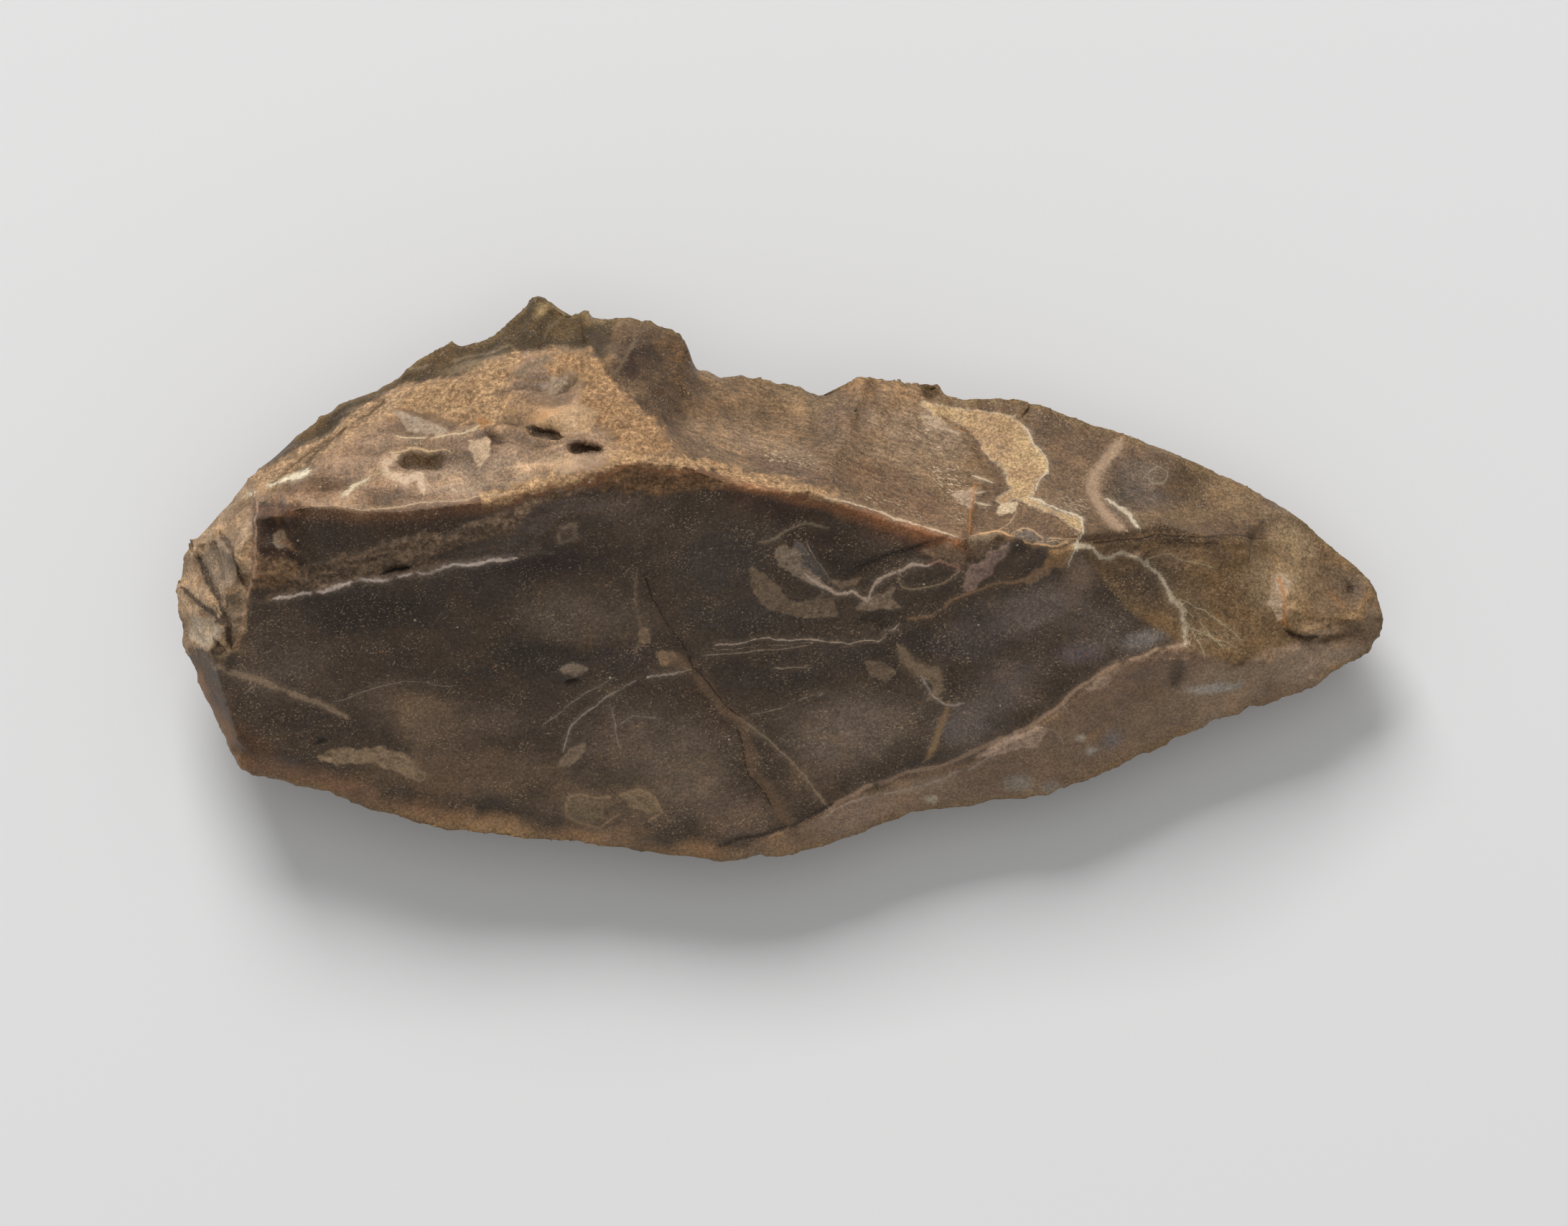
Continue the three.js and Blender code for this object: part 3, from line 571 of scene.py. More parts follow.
# Steps, where one layer of the stone broke off before the next: how high, and the line in plan.
# The higher side is on the line's left. The slope is STEP_SLOPE wide, and it evens out over STEP_FADE.
STEP_SLOPE = 0.35
STEP_FADE = 4
STEPS = [
    (0.5, [(22.5, 4.8), (23.5, 9), (25.4, 12.6), (23.6, 16), (20, 20)]),
    (0.45, [(9.4, 1.7), (13, 3), (18.4, 4.7)]),
    (0.35, [(-33.2, 2.8), (-40.5, 2.2), (-45, 1.2), (-52.6, -0.2), (-62.2, -2.3)]),
    (0.3, [(-31.3, 9.3), (-40.8, 5.9), (-48.8, 4.3), (-58.7, 1.5)]),
    (0.9, [(-58.6, 0.8), (-59.6, 3), (-59.4, 6.6), (-60.4, 9)]),
    (0.5, [(-60.4, 4), (-61.8, 5.4), (-62.6, 9)]),
    (0.9, [(-65, 9.5), (-65.2, 4), (-65.4, 0), (-66.2, -2)]),
    (0.8, [(-69.2, -4.8), (-70.4, -4), (-72.4, -2.8), (-74.4, -0.6)]),
    (0.8, [(-68.4, -7), (-69, -4.2), (-70.4, -1.6), (-72, 2.2), (-72.6, 5)]),
    (0.5, [(-67.6, -6.8), (-67.4, -3), (-68.4, 0.2), (-68, 2.6), (-69.6, 5.4)]),
    (0.4, [(-69.4, 11), (-69.6, 8), (-67.6, 5), (-67.8, 3)]),
    (0.25, [(-12, -9), (-9.7, -12.8), (-7.8, -15.3), (-5.2, -17.9), (-4, -22), (-2, -25.5), (1.2, -30.5)]),
    (0.3, [(6, -28.5), (1, -23), (-3, -19), (-5, -17.5)]),
    (0.2, [(-17.2, -7), (-17.7, -4), (-18.2, 0.5), (-17, 3.5)]),
    (0.35, [(49.3, -8), (41, -10.2), (37, -14), (32.5, -17.2), (26, -21)]),
    (0.55, [(60, 5.2), (52, 5.6), (46, 5.3), (40, 4.8), (36, 4.4)]),
    (0.8, [(61.9, -1), (62.6, -6.4), (64.2, -7), (66.4, -6.8)]),
    (0.4, [(-22.4, 19), (-24.2, 17.7), (-27.8, 17.6), (-31.6, 18.9)]),
    (0.6, [(-16.9, 33.5), (-18.6, 28.4), (-17, 23)]),
    (0.5, [(-25, 34), (-24.6, 30), (-22, 26.6)]),
    (0.6, [(-30.4, 36), (-31.6, 31), (-36, 28.6)]),
    (0.4, [(-12.6, 31), (-13.6, 26), (-11, 21)]),
    (0.4, [(36, 4.6), (32.4, 5.4), (28.6, 7.2), (26.5, 6.3), (22.8, 5.2)]),
]
for height, line in STEPS:
    side = beside(plan, line)
    far = np.abs(side)
    half = height * 0.5 * np.sign(side)
    lift += ridged_face * half * ramp(far, 0, STEP_SLOPE) * ramp(far, STEP_FADE, STEP_SLOPE)


def ellipse(x, y, length, width, heading, ragged=0):
    """1 in the middle of an oval in plan, 0 outside it: its place, half-length, half-width and heading."""
    turn = math.radians(heading)
    lengthways = np.array((math.cos(turn), math.sin(turn))) / length
    across = np.array((-math.sin(turn), math.cos(turn))) / width
    offset = plan - (x, y)
    return ramp(np.hypot(offset @ lengthways, offset @ across) + ragged, 1.2, 0.3)


# Lumps and pits: place in plan, half-length, half-width, which way it lies in degrees, and how high.
KNOBS = [
    (-44.9, 15, 3, 1.3, -4, -1.9), (-46.3, 12.3, 3.4, 1, -12, 0.5), (-49, 14.2, 1.6, 0.9, 70, 0.5),
    (-27.3, 19.8, 4.4, 1.9, 8, 1.3), (-29.3, 18.1, 2.2, 0.7, -15, -1.5), (-24.2, 16.1, 2.2, 0.9, -4, -2),
    (-34.5, 18.6, 1.3, 0.7, 10, 0.5), (-40.5, 20.3, 3.4, 0.8, 25, 0.5), (-33.5, 22.6, 3, 0.7, 35, 0.5),
    (-27, 24.4, 2.6, 0.7, 40, -0.5), (-25, 22, 1.4, 1.1, 0, 0.5), (-31, 13.6, 2.6, 0.8, 10, 0.3),
    (-22.4, 20.4, 1, 0.6, 30, -0.5), (-37.4, 15.6, 1.2, 2.1, 0, 0.2), (-36, 16.7, 1, 0.8, 0, -0.3),
    (-26, -11.5, 1.9, 1.2, 10, 0.5), (-25.9, -12.9, 1.1, 0.5, 15, -0.6), (-47.5, 1.3, 1.5, 0.5, 12, -0.5),
    (-50.5, 2.4, 1.8, 0.4, 14, -0.25), (-56.6, -22, 0.6, 0.4, 0, -0.4), (-57.4, -20.4, 1, 0.4, 20, -0.3),
    (-67.3, -21, 1.3, 0.9, -50, -0.4), (-21, 8.5, 4.5, 1.4, 12, 0.3), (-26.6, 5.6, 1.4, 0.8, 20, 0.25),
    (43.5, 3, 1.1, 0.6, 30, 0.5), (46.4, 12.3, 1.4, 1.3, 0, 0.25), (41.5, 10.8, 1.6, 3.2, 15, -0.3),
    (67.5, -5.8, 0.5, 0.4, 0, -0.5), (70.5, -1.2, 0.6, 0.5, 0, -0.5), (58.5, 5.1, 0.6, 0.4, 20, -0.4),
    (62.4, -2.4, 1.6, 2.4, 0, 0.3), (18.2, 23.8, 1.2, 1.6, -20, -0.6), (-25.5, -28.3, 2.3, 1.6, 15, 0.12),
    (33.5, 3.6, 2.2, 1, -25, 0.4), (29.5, 3.9, 2, 1.1, 30, -0.35), (25.2, 2.6, 1.2, 2.2, -20, 0.3),
    (28.8, 8.8, 1, 0.6, 20, 0.3), (11, -5.2, 3.4, 1.4, 5, -0.15),
]
for *oval, height in KNOBS:
    detail += ridged_face * height * ellipse(*oval)
detail += ridged_face * 0.3 * layered(spots, 1, 2, 35) * ramp(within(plan, CLUSTER), -0.5, 0.8)
lift += detail

# Faint ripples spread from where the big flakes of the brown scars were struck.
RIPPLE = 3.1
RIPPLE_HEIGHT = 0.05
struck = ramp(within(plan, BROWN_SCARS), 0, 3) * ridged_face
for middle in ((-4, 27), (14, 28)):
    far = np.linalg.norm(plan - middle, axis=1)
    lift += struck * RIPPLE_HEIGHT * np.sin(2 * math.pi * (far / RIPPLE + 0.5 * noise(spots, 9, 31)))

spots += facing * lift[:, None]

# The butt's scars: place in plan, how far across, and how deep.
BUTT_SCARS = [(-71.2, -6.2, 4.6, 0.9), (-70, 3, 4.2, 0.8), (-67.6, -3.4, 3, 0.5), (-72.6, 0.6, 3.4, 0.7),
              (-67.2, 7.4, 4, 0.9), (-71.6, 6.6, 3.6, 0.6), (-69.4, -0.6, 3, 0.5), (-73.6, -3, 3, 0.5),
              (-69.4, 10.4, 3, 0.7), (-62.8, 6.4, 4, 0.8)]
upper = np.flatnonzero(facing[:, 2] > 0.1)
for x, y, width, depth in BUTT_SCARS:
    spot = upper[np.argmin(np.linalg.norm(spots[upper, :2] - (x, y), axis=1))]
    strike(spots, spots[spot].copy(), facing[spot], (width**2 / 4 + depth**2) / (2 * depth), depth)

# Nibbled rims and crests: the edge's spots, the share that is chipped, the largest chip's radius, how much
# its heading strays, and the deepest chip as a share of its radius.
SMALLEST_CHIP = 0.6
SHALLOWEST = 0.03
CHIPPING = ((rim, 0.8, 1.7, 0.3, 0.2), (crests, 0.35, 1.6, 0.2, 0.12))
for chipped, share, largest, stray, deepest_chip in CHIPPING:
    for spot in chipped[dice.random(len(chipped)) < share]:
        radius = dice.uniform(SMALLEST_CHIP, largest)
        out = spot[3:6] + dice.normal(0, stray, 3)
        strike(spots, spot[:3], out, radius, radius * dice.uniform(SHALLOWEST, deepest_chip))

stone.data.vertices.foreach_set("co", (spots * MM).ravel())
stone.data.update()
stone.data.attributes.new("detail", "FLOAT", "POINT").data.foreach_set("value", detail)
apply("DECIMATE", ratio=MOST_TRIANGLES / (2 * len(stone.data.polygons)))
bpy.ops.object.shade_smooth()

# ---- The colours ----
# The broad colours are laid on the mesh, zone by zone. Lines and patches are kept as distances, which the
# material turns into ragged edges finer than the mesh.

spots = read(stone.data.vertices, "co", 3) / MM
facing = read(stone.data.vertex_normals, "vector", 3)
plan = wander(spots)
ridged_face = ramp(facing[:, 2], -0.05, 0.1)
ragged = 0.4 * noise(spots, 1.5, 41)


def linear(colour):
    """A hex colour as three linear values."""
    parts = np.array([int(colour[i : i + 2], 16) for i in (1, 3, 5)]) / 255
    return np.where(parts <= 0.04045, parts / 12.92, ((parts + 0.055) / 1.055) ** 2.4)


def lay(colour, share):
    """Lays a colour over the stone's tint, where the share says."""
    tint[:] += (linear(colour) - tint) * np.clip(share, 0, 1)[:, None]


def zone(outline, soft=0.5):
    """1 inside an outline on the ridged face and 0 outside it, with a ragged edge."""
    return ridged_face * ramp(within(plan, outline) + ragged, -soft, soft)


def reach(points):
    """How far each spot of the surface is from the nearest of some points."""
    tree = KDTree(len(points))
    for i, point in enumerate(points):
        tree.insert(point[:3], i)
    tree.balance()
    return np.array([tree.find(spot)[2] for spot in spots])


# The underside, and the whole stone before anything else: grey-brown, with darker and olive clouds.
GREY_BROWN = "#6a5b49"
DARKER = "#4f4438"
OLIVE = "#7d6c52"
tint = np.tile(linear(GREY_BROWN), (len(spots), 1))
lay(DARKER, ramp(layered(spots, 16, 4, 51), -0.1, 0.5))
lay(OLIVE, 0.7 * ramp(layered(spots, 11, 3, 55), 0.1, 0.6))

# The ridged face is brown, and its zones have a colour each.
BROWN = "#5c4936"
lay(BROWN, ridged_face)
for outline, colour in (
    (DARK_FACE, "#4c4138"),
    (OLIVE_EDGE, "#463823"),
    (BROWN_SCARS, "#786149"),
    (TIP_SIDE, "#675341"),
    (TIP_FLAKE, "#725c42"),
    (BEVEL, "#846d5a"),
    (RIND, "#8c7460"),
    (BUTT, "#a78e74"),
    # The butt's hollow is painted dark: painted shade.
    (BUTT_HOLLOW, "#382a22"),
):
    lay(colour, zone(outline))

# Clouds within each zone: place in plan, half-length, half-width, which way it lies in degrees, colour.
CLOUDS = [
    (DARK_FACE, [
        (-62, 7, 6, 3.5, 0, "#3e3129"), (-55, 6, 5, 3, 0, "#42372f"), (-45, 6.8, 8, 2, 8, "#45372e"),
        (-31, 7.8, 8, 2.3, 15, "#5e4f46"), (-19, 8.5, 7, 3.5, 5, "#5b4d45"),
        (-52, -4, 13, 3.6, 4, "#3b332f"), (-63, -6, 6, 4, 0, "#4e433b"), (-28, 2, 11, 3, 6, "#392f2c"),
        (-38, -1, 7, 2.5, 5, "#433934"), (-25, -4.5, 10, 4.5, -4, "#63564c"),
        (-31, -10, 10, 3, 0, "#403833"), (-20, -9.5, 6, 2.5, 0, "#463c38"), (-8, 2, 8, 6, 0, "#4a413c"),
        (-5, -4.5, 8, 3, 0, "#433b37"), (-1, 9.5, 10, 2.5, -14, "#43352e"),
        # Below the ridge: painted shade in the hollow at (6, 4), and a painted brown glow at (13, 6.5) and
        # (19, 4.8).
        (6, 4, 6, 3.5, -10, "#372d27"), (13, 6.5, 8, 2.4, -20, "#564136"),
        (19, 4.8, 5, 1.6, -18, "#6c4e3b"), (-2, -12, 9, 2.6, 0, "#433a34"),
        (-9.5, -15.5, 5, 3, -55, "#453931"), (-70, -15, 5, 3, -60, "#5b4a3e"),
        (-62, -11, 8, 4, 0, "#594d45"), (-49, -10.5, 8, 4, 0, "#4a3f38"), (-56, -18, 8, 3, 0, "#4b4039"),
        (-65, -22, 5, 3, -40, "#5c4535"), (-45, -17, 7, 4, -25, "#705e4f"),
        (-36, -17.5, 6, 3, 0, "#5d4f46"), (-29.5, -17, 4, 4, 0, "#4e433c"),
        (-40, -24, 13, 3.5, 0, "#6c5a4b"), (-21, -19, 7, 5, 20, "#63554b"),
        (-13, -23, 8, 7, 0, "#6d5f53"), (-24, -28, 10, 4, -5, "#6d5c4d"), (-6, -29, 6, 4, -20, "#6a5a4f"),
        (3, -25, 3, 5, -55, "#655548"), (8, -18, 12, 5.5, 8, "#72645a"), (7, -9.5, 9, 3, 0, "#4a403a"),
        (17, -8, 4, 2.5, 0, "#423935"), (24, -7, 6, 4, 20, "#524947"), (32, -3, 7, 4, 20, "#6e625e"),
        (36.5, 1, 3, 3, 0, "#7c695b"), (28, -13, 8, 4, 30, "#645955"), (23, -18, 6, 4, 30, "#6b615e"),
        (37, -9, 5, 2, 15, "#665b5c"), (27, -20.5, 4, 1, 30, "#6d6567"), (38, -6, 5, 3, 0, "#5c514b"),
        (45, -7.2, 3.6, 1.3, 12, "#78716f"),
        # Its honey-coloured rim, painted lighter as light let through the thin stone: painted light.
        (-58, -25, 9, 2, -14, "#836550"), (-45, -29, 9, 2, -10, "#80654f"),
        (-36, -31, 7, 2, -4, "#93785e"), (-73, -13.5, 6.5, 2.2, -70, "#8c6745"),
        (-69.8, -20, 6, 2.2, -58, "#886444"), (-24, -32.3, 9, 2, -4, "#93775e"),
        (-10, -34, 7, 1.6, -4, "#8f7258"),
    ]),
    (RIND, [
        # Painted shade in the pit at (-44.6, 15), and a painted shadow under a lump at (-24.2, 15.8).
        (-44.6, 15, 3.2, 1.2, -4, "#80684f"), (-24.2, 15.8, 2, 0.9, -4, "#4f3620"),
        (-56.5, 11.5, 8, 2, 5, "#6c533e"), (-35.4, 17.3, 1.7, 0.9, -10, "#574335"),
        (-42, 10.5, 8, 1, 5, "#7d5f45"), (-49, 10.2, 7, 1.6, 0, "#735e4d"),
        (-60, 15, 5, 2, 38, "#7a654c"), (-55.5, 18, 8, 1.6, 40, "#6c5942"),
        (-38, 12.5, 11, 2.6, 6, "#95806e"), (-29, 14, 9, 2, 12, "#96806a"),
        (-27, 19.8, 5, 2.5, 10, "#9c7f62"), (-40, 23, 11, 3, 15, "#8f7255"),
        (-33, 21, 6, 3, 0, "#937659"), (-25, 26, 6, 3, -30, "#8d7559"), (-63, 12, 3, 2, 30, "#957b60"),
        (-20, 19, 7, 3.5, -45, "#917558"), (-48.3, 13.6, 0.7, 0.5, 0, "#5f4a3a"),
        (-47.4, 11, 0.7, 0.5, 30, "#5f4a3a"), (-42.4, 12.4, 0.5, 0.4, 0, "#523d2e"),
        # Painted shadows under the overhanging lumps at (-24, 16.2) and (-29.4, 18.2).
        (-45.4, 12.1, 1, 0.4, -10, "#6a4a33"), (-24, 16.2, 2.5, 0.8, -14, "#3b2616"),
        (-29.4, 18.2, 2, 0.4, -12, "#38241a"), (-50, 13, 2, 1, 0, "#9c856c"),
        (-41, 12.2, 3, 1, 12, "#ab927c"), (-32, 13.6, 4, 1, 10, "#a88e76"),
    ]),
    (OLIVE_EDGE, [
        (-57, 20.5, 6, 1.2, 38, "#584429"), (-50, 24.8, 4, 1.4, 35, "#63502f"),
        (-42, 27.6, 5, 1.4, 22, "#54422b"), (-38, 26.6, 4, 0.8, 12, "#7d6c55"),
        (-33, 30, 4, 1.6, 50, "#4f3f2a"), (-27, 31.5, 3, 2.4, 60, "#5f4d33"),
        (-30, 33.4, 2, 1, 50, "#8a7757"), (-24, 33, 2, 1.4, -40, "#7a6749"),
        (-62.5, 15.6, 3, 0.8, 42, "#4f4030"),
    ]),
    (BROWN_SCARS, [
        (-18, 27, 6, 5, 60, "#3f2e21"), (-14, 22, 6, 4, -45, "#4a3622"), (-12, 29, 6, 4, 60, "#523d27"),
        (-8, 19, 5, 4, -30, "#67523d"), (-3, 16, 10, 3.5, -15, "#846e59"),
        (2, 13.2, 9, 1.6, -15, "#6c5747"), (8, 20, 6, 6, 0, "#776250"), (16, 17, 7, 7, -60, "#836e5a"),
        (16, 9.5, 8, 2.6, -25, "#745c49"), (14, 24, 6, 2.5, 0, "#846a51"),
        (2, 22.5, 4, 2.5, 0, "#77634c"), (12, 12, 6, 3, -25, "#775f4b"), (18.2, 24, 2, 2, 0, "#5a4330"),
    ]),
    (TIP_SIDE, [
        (34, 17, 6, 5, -10, "#6c5846"), (36, 11.5, 5, 4, 0, "#725d4a"),
        (45, 11.5, 5, 4.5, -20, "#63554a"), (50, 12.5, 4, 3.5, -30, "#5a4733"),
        (56, 10, 5, 3, -30, "#7b664e"), (63, 5.5, 5, 3, -40, "#9a846a"), (50, 8, 7, 1.6, 0, "#7b654b"),
        (70, -1, 5, 2.4, -45, "#655343"), (73, -5, 3, 3, 0, "#8b735a"), (24, 14, 3.6, 3, -60, "#6b503b"),
        (20.5, 21.3, 3, 1, 0, "#8a7154"), (46, 16, 6, 1.6, -22, "#6b5746"),
    ]),
    (TIP_FLAKE, [
        (45, 0, 6, 4.5, -40, "#53463a"), (41.5, 2.5, 3, 2, 0, "#6c5845"), (52, 3, 6, 1.6, 0, "#8a7159"),
        (56, -1, 7, 5, 0, "#6f5940"), (50, -3, 4, 4, 0, "#6b5843"), (61, -1, 4.5, 4.5, 0, "#9a8367"),
        (56, -7, 6, 2, 0, "#705b45"), (67.5, -2.5, 3, 2.5, -20, "#735e48"),
        # A painted shadow band under the ridge line at (48, 5).
        (68, -6.5, 4, 1.2, -5, "#a98f74"), (48, 5, 12, 0.9, 2, "#4c3c2e"),
    ]),
    (BEVEL, [
        (66, -10, 8, 3, 12, "#a28d7a"), (54, -14, 10, 4, 22, "#95806c"), (44, -12, 7, 3, 20, "#7a6556"),
        (44, -19, 9, 3, 25, "#87725f"), (33, -21, 8, 4, 25, "#826d5c"), (22, -27, 9, 2, 5, "#8a7564"),
        (53.5, -13.3, 4, 0.6, 6, "#a9a29c"), (37, -19.5, 0.9, 0.6, 0, "#aca59c"),
        (38.4, -21.2, 1, 0.5, 0, "#a69e94"), (41, -19.8, 1.8, 1.6, 0, "#7e7472"),
        (29, -25.4, 2.2, 1.2, 10, "#8f867d"), (33.4, -25.8, 1.8, 0.9, 0, "#978d84"),
        (70, -9.2, 3, 1, 24, "#94857a"), (49, -11.6, 1.2, 1.8, 0, "#5b4a3c"),
        (10, -29, 8, 3, 25, "#968070"), (-2, -34, 6, 2, 15, "#86705c"),
        (18, -25.3, 8, 1.1, 10, "#97826f"),
    ]),
]
torn_edges = 0.3 * ragged + 0.4 * layered(spots, 6, 4, 45)
for outline, clouds in CLOUDS:
    inside = zone(outline)
    for *oval, colour in clouds:
        lay(colour, inside * ellipse(*oval, torn_edges))

# All of it leans warm. Painted shade makes the hollows darker, and painted light makes what stands proud
# paler.
WARMTH = (1.05, 1, 0.91)
PAINTED_RELIEF_SHADE = 0.85
detail = read(stone.data.attributes["detail"].data, "value", 1)[:, 0]
tint *= (1 + PAINTED_RELIEF_SHADE * np.clip(detail, -0.7, 0.5))[:, None] * WARMTH

# Thin rims let light through, so they are painted honey-coloured and lighter: painted light. The ridge has
# a painted brown glow, most of all in the middle of the stone. The butt has rusty stains.
PAINTED_RIM_GLOW = "#846b48"
PAINTED_RIDGE_GLOW = "#95633f"
RUSTY_STAIN = "#6b4a2c"
lay(PAINTED_RIM_GLOW, 0.6 * ramp(reach(rim) + 0.6 * ragged, 1.8, 0.1))
off_ridge = np.abs(beside(plan, RIDGE) + 0.7) * ridged_face
along = (0.35 + 0.65 * ramp(plan[:, 0], -42, -25)) * ramp(plan[:, 0], 24, 21)
lay(PAINTED_RIDGE_GLOW, 0.7 * along * zone(DARK_FACE) * ramp(off_ridge, 1.6, 0.2))
lay(RUSTY_STAIN, 0.4 * zone(BUTT) * ramp(noise(spots, 1.6, 63), 0.1, 0.6))


def keep(name, kind, values):
    """Keeps values on the stone's vertices, for the material to read."""
    kept = stone.data.attributes.new(name, kind, "POINT").data
    kept.foreach_set("color" if kind == "FLOAT_COLOR" else "vector", values.astype(np.float32).ravel())


def keep_colours(name, colours, picks, strengths=1):
    """Keeps a colour for each spot, picked from a list, and how strong it is there."""
    chosen = np.array([linear(colour) for colour in colours])[picks]
    keep(name, "FLOAT_COLOR", np.column_stack([chosen, np.full(len(spots), strengths)]))


# What isn't on the ridged face counts as this far away, in mm.
HIDDEN = 9
below = (1 - ridged_face) * HIDDEN
keep("tint", "FLOAT_COLOR", np.column_stack([tint, np.ones(len(tint))]))

# A vector holds three measures, and a line needs two.
spare = np.zeros(len(spots))
# The veins attribute also carries the painted ridge highlight, and the cracks attribute the painted shadow
# lines.
for name, lines in (("veins", VEINS_AND_RIDGE_HIGHLIGHT), ("bands", BANDS), ("cracks", CRACKS_AND_PAINTED_SHADOWS)):
    picks, across, past = nearest(plan, lines)
    keep(name, "FLOAT_VECTOR", np.column_stack([np.clip(across, -HIDDEN, HIDDEN), past + below, spare]))
    keep_colours(name + "_tint", [colour for _, colour, _, _ in lines], picks,
                 np.array([strength for _, _, strength, _ in lines])[picks])

sand_depths = [within(plan, outline) for _, outline in SANDY]
sand_depths.append(CREST_SAND_HALF - np.abs(beside(plan, CREST_SAND)))
sand_colours = [colour for colour, _ in SANDY] + [CREST_SAND_AND_HIGHLIGHT_COLOUR]
tan_depths = [within(plan, outline) for _, outline in TAN]
keep_colours("sand_tint", sand_colours, np.argmax(sand_depths, axis=0))
keep_colours("patch_tint", [colour for colour, _ in TAN], np.argmax(tan_depths, axis=0))
patches = [np.max(sand_depths, axis=0), np.max(tan_depths, axis=0), within(plan, BEIGE_PATCH)]
keep("patches", "FLOAT_VECTOR", np.column_stack([np.maximum(patch, -HIDDEN) - below for patch in patches]))

# Where the surface is glassy, torn, or streaked the way it was struck.
streaked = np.maximum(zone(BROWN_SCARS, 2), 0.6 * zone(TIP_SIDE, 2))
keep("zones", "FLOAT_VECTOR", np.column_stack([deepest(plan, GLASSY) - below, zone(BUTT), streaked]))

# Where there are hackles, and fine threads: place in plan, half-length, half-width, and heading.
HACKLES = [(20, 13.5, 7, 3, -60), (1, 15, 6, 3, -15), (-1, 11.8, 9, 1, -14), (14, 8.5, 9, 1.2, -24),
           (22, 8, 3, 2, -70), (18, 18, 4, 2, -20), (28, 10.5, 2.5, 3, 0), (36, 9.5, 4, 3, -30)]
THREADS = [(51, -5, 6, 4.5, -40), (44.5, 2, 6, 3, 0), (55, 1, 7, 3, 0), (14, -5.5, 6, 3, 0),
           (40, -12.5, 5, 2.5, 20), (34, -20, 4, 2, 20), (-14, -9, 5, 4, 0), (8, 2, 9, 4, -20)]
fields = [np.max([ellipse(*way) for way in ways], axis=0) for ways in (HACKLES, THREADS)]
fields.append(np.maximum(zone(DARK_FACE, 2), zone(BEVEL, 2)))
keep("textures", "FLOAT_VECTOR", np.column_stack([field * ridged_face for field in fields]))

# ---- The material ----
# Flint: waxy where it is fresh, dull where it is weathered, and full of grains, specks and veins.
# It reads the colours and distances kept above, and adds what is finer than the mesh.


def add(tree, kind, sockets=(), **settings):
    """A shader node, with its sockets fed by other nodes' sockets or set to plain values."""
    new = tree.nodes.new("ShaderNode" + kind)
    for name, value in settings.items():
        setattr(new, name, value)
    for socket, value in dict(sockets).items():
        if isinstance(value, bpy.types.NodeSocket):
            tree.links.new(value, new.inputs[socket])
        else:
            new.inputs[socket].default_value = value
    return new


def calculate(tree, operation, *values):
    """One step of arithmetic on sockets or numbers."""
    return add(tree, "Math", enumerate(values), operation=operation).outputs[0]


def between(tree, value, low, high):
    """0 at low, 1 at high, and smooth between them."""
    limits = {"Value": value, "From Min": low, "From Max": high}
    return add(tree, "MapRange", limits, interpolation_type="SMOOTHSTEP").outputs["Result"]


def noise_texture(tree, place, size, detail, roughness=0.5, distortion=0):
    """A noise from 0 to 1, in lumps of about that size in mm."""
    sockets = {"Vector": place, "Scale": 1 / (size * MM), "Detail": detail, "Roughness": roughness,
               "Distortion": distortion}
    return add(tree, "TexNoise", sockets).outputs["Fac"]


def new_group(name, inputs, outputs):
    """A node group, with its inputs' and outputs' names and socket kinds, and its two end nodes."""
    group = bpy.data.node_groups.new(name, "ShaderNodeTree")
    for label, kind in inputs.items():
        group.interface.new_socket(label, in_out="INPUT", socket_type="NodeSocket" + kind)
    for label, kind in outputs.items():
        group.interface.new_socket(label, in_out="OUTPUT", socket_type="NodeSocket" + kind)
    return group, group.nodes.new("NodeGroupInput").outputs, group.nodes.new("NodeGroupOutput").inputs


# Specks: little dots scattered at random. Size is a cell's, share is how many cells hold a speck, and
# radius is the largest speck's, as a share of a cell.
specks, given, result = new_group(
    "specks", {"Vector": "Vector", "Size": "Float", "Share": "Float", "Radius": "Float"}, {"Mask": "Float"}
)
scale = calculate(specks, "DIVIDE", 1, given["Size"])
cells = add(specks, "TexVoronoi", {"Vector": given["Vector"], "Scale": scale, "Randomness": 1}).outputs
chance = add(specks, "SeparateColor", {"Color": cells["Color"]}).outputs
radius = calculate(specks, "MULTIPLY", given["Radius"], calculate(specks, "ADD", chance["Green"], 0.4))
inner = calculate(specks, "MULTIPLY", radius, 0.6)
dot = between(specks, cells["Distance"], radius, inner)
held = calculate(specks, "LESS_THAN", chance["Red"], given["Share"])
specks.links.new(calculate(specks, "MULTIPLY", dot, held), result["Mask"])

# Flecks: the peaks of a fine noise, thicker in some places than others. A higher peak makes them fewer.
FLECK_SIZE = 0.25
DRIFT_SIZE = 12 * FLECK_SIZE
flecks, given, result = new_group("flecks", {"Vector": "Vector", "Peak": "Float"}, {"Mask": "Float"})
peaks = noise_texture(flecks, given["Vector"], FLECK_SIZE, 2, 0.6)
drifts = calculate(flecks, "SUBTRACT", noise_texture(flecks, given["Vector"], DRIFT_SIZE, 3), 0.5)
peaks = calculate(flecks, "ADD", peaks, calculate(flecks, "MULTIPLY", drifts, 0.3))
top = calculate(flecks, "ADD", given["Peak"], 0.07)
flecks.links.new(between(flecks, peaks, given["Peak"], top), result["Mask"])

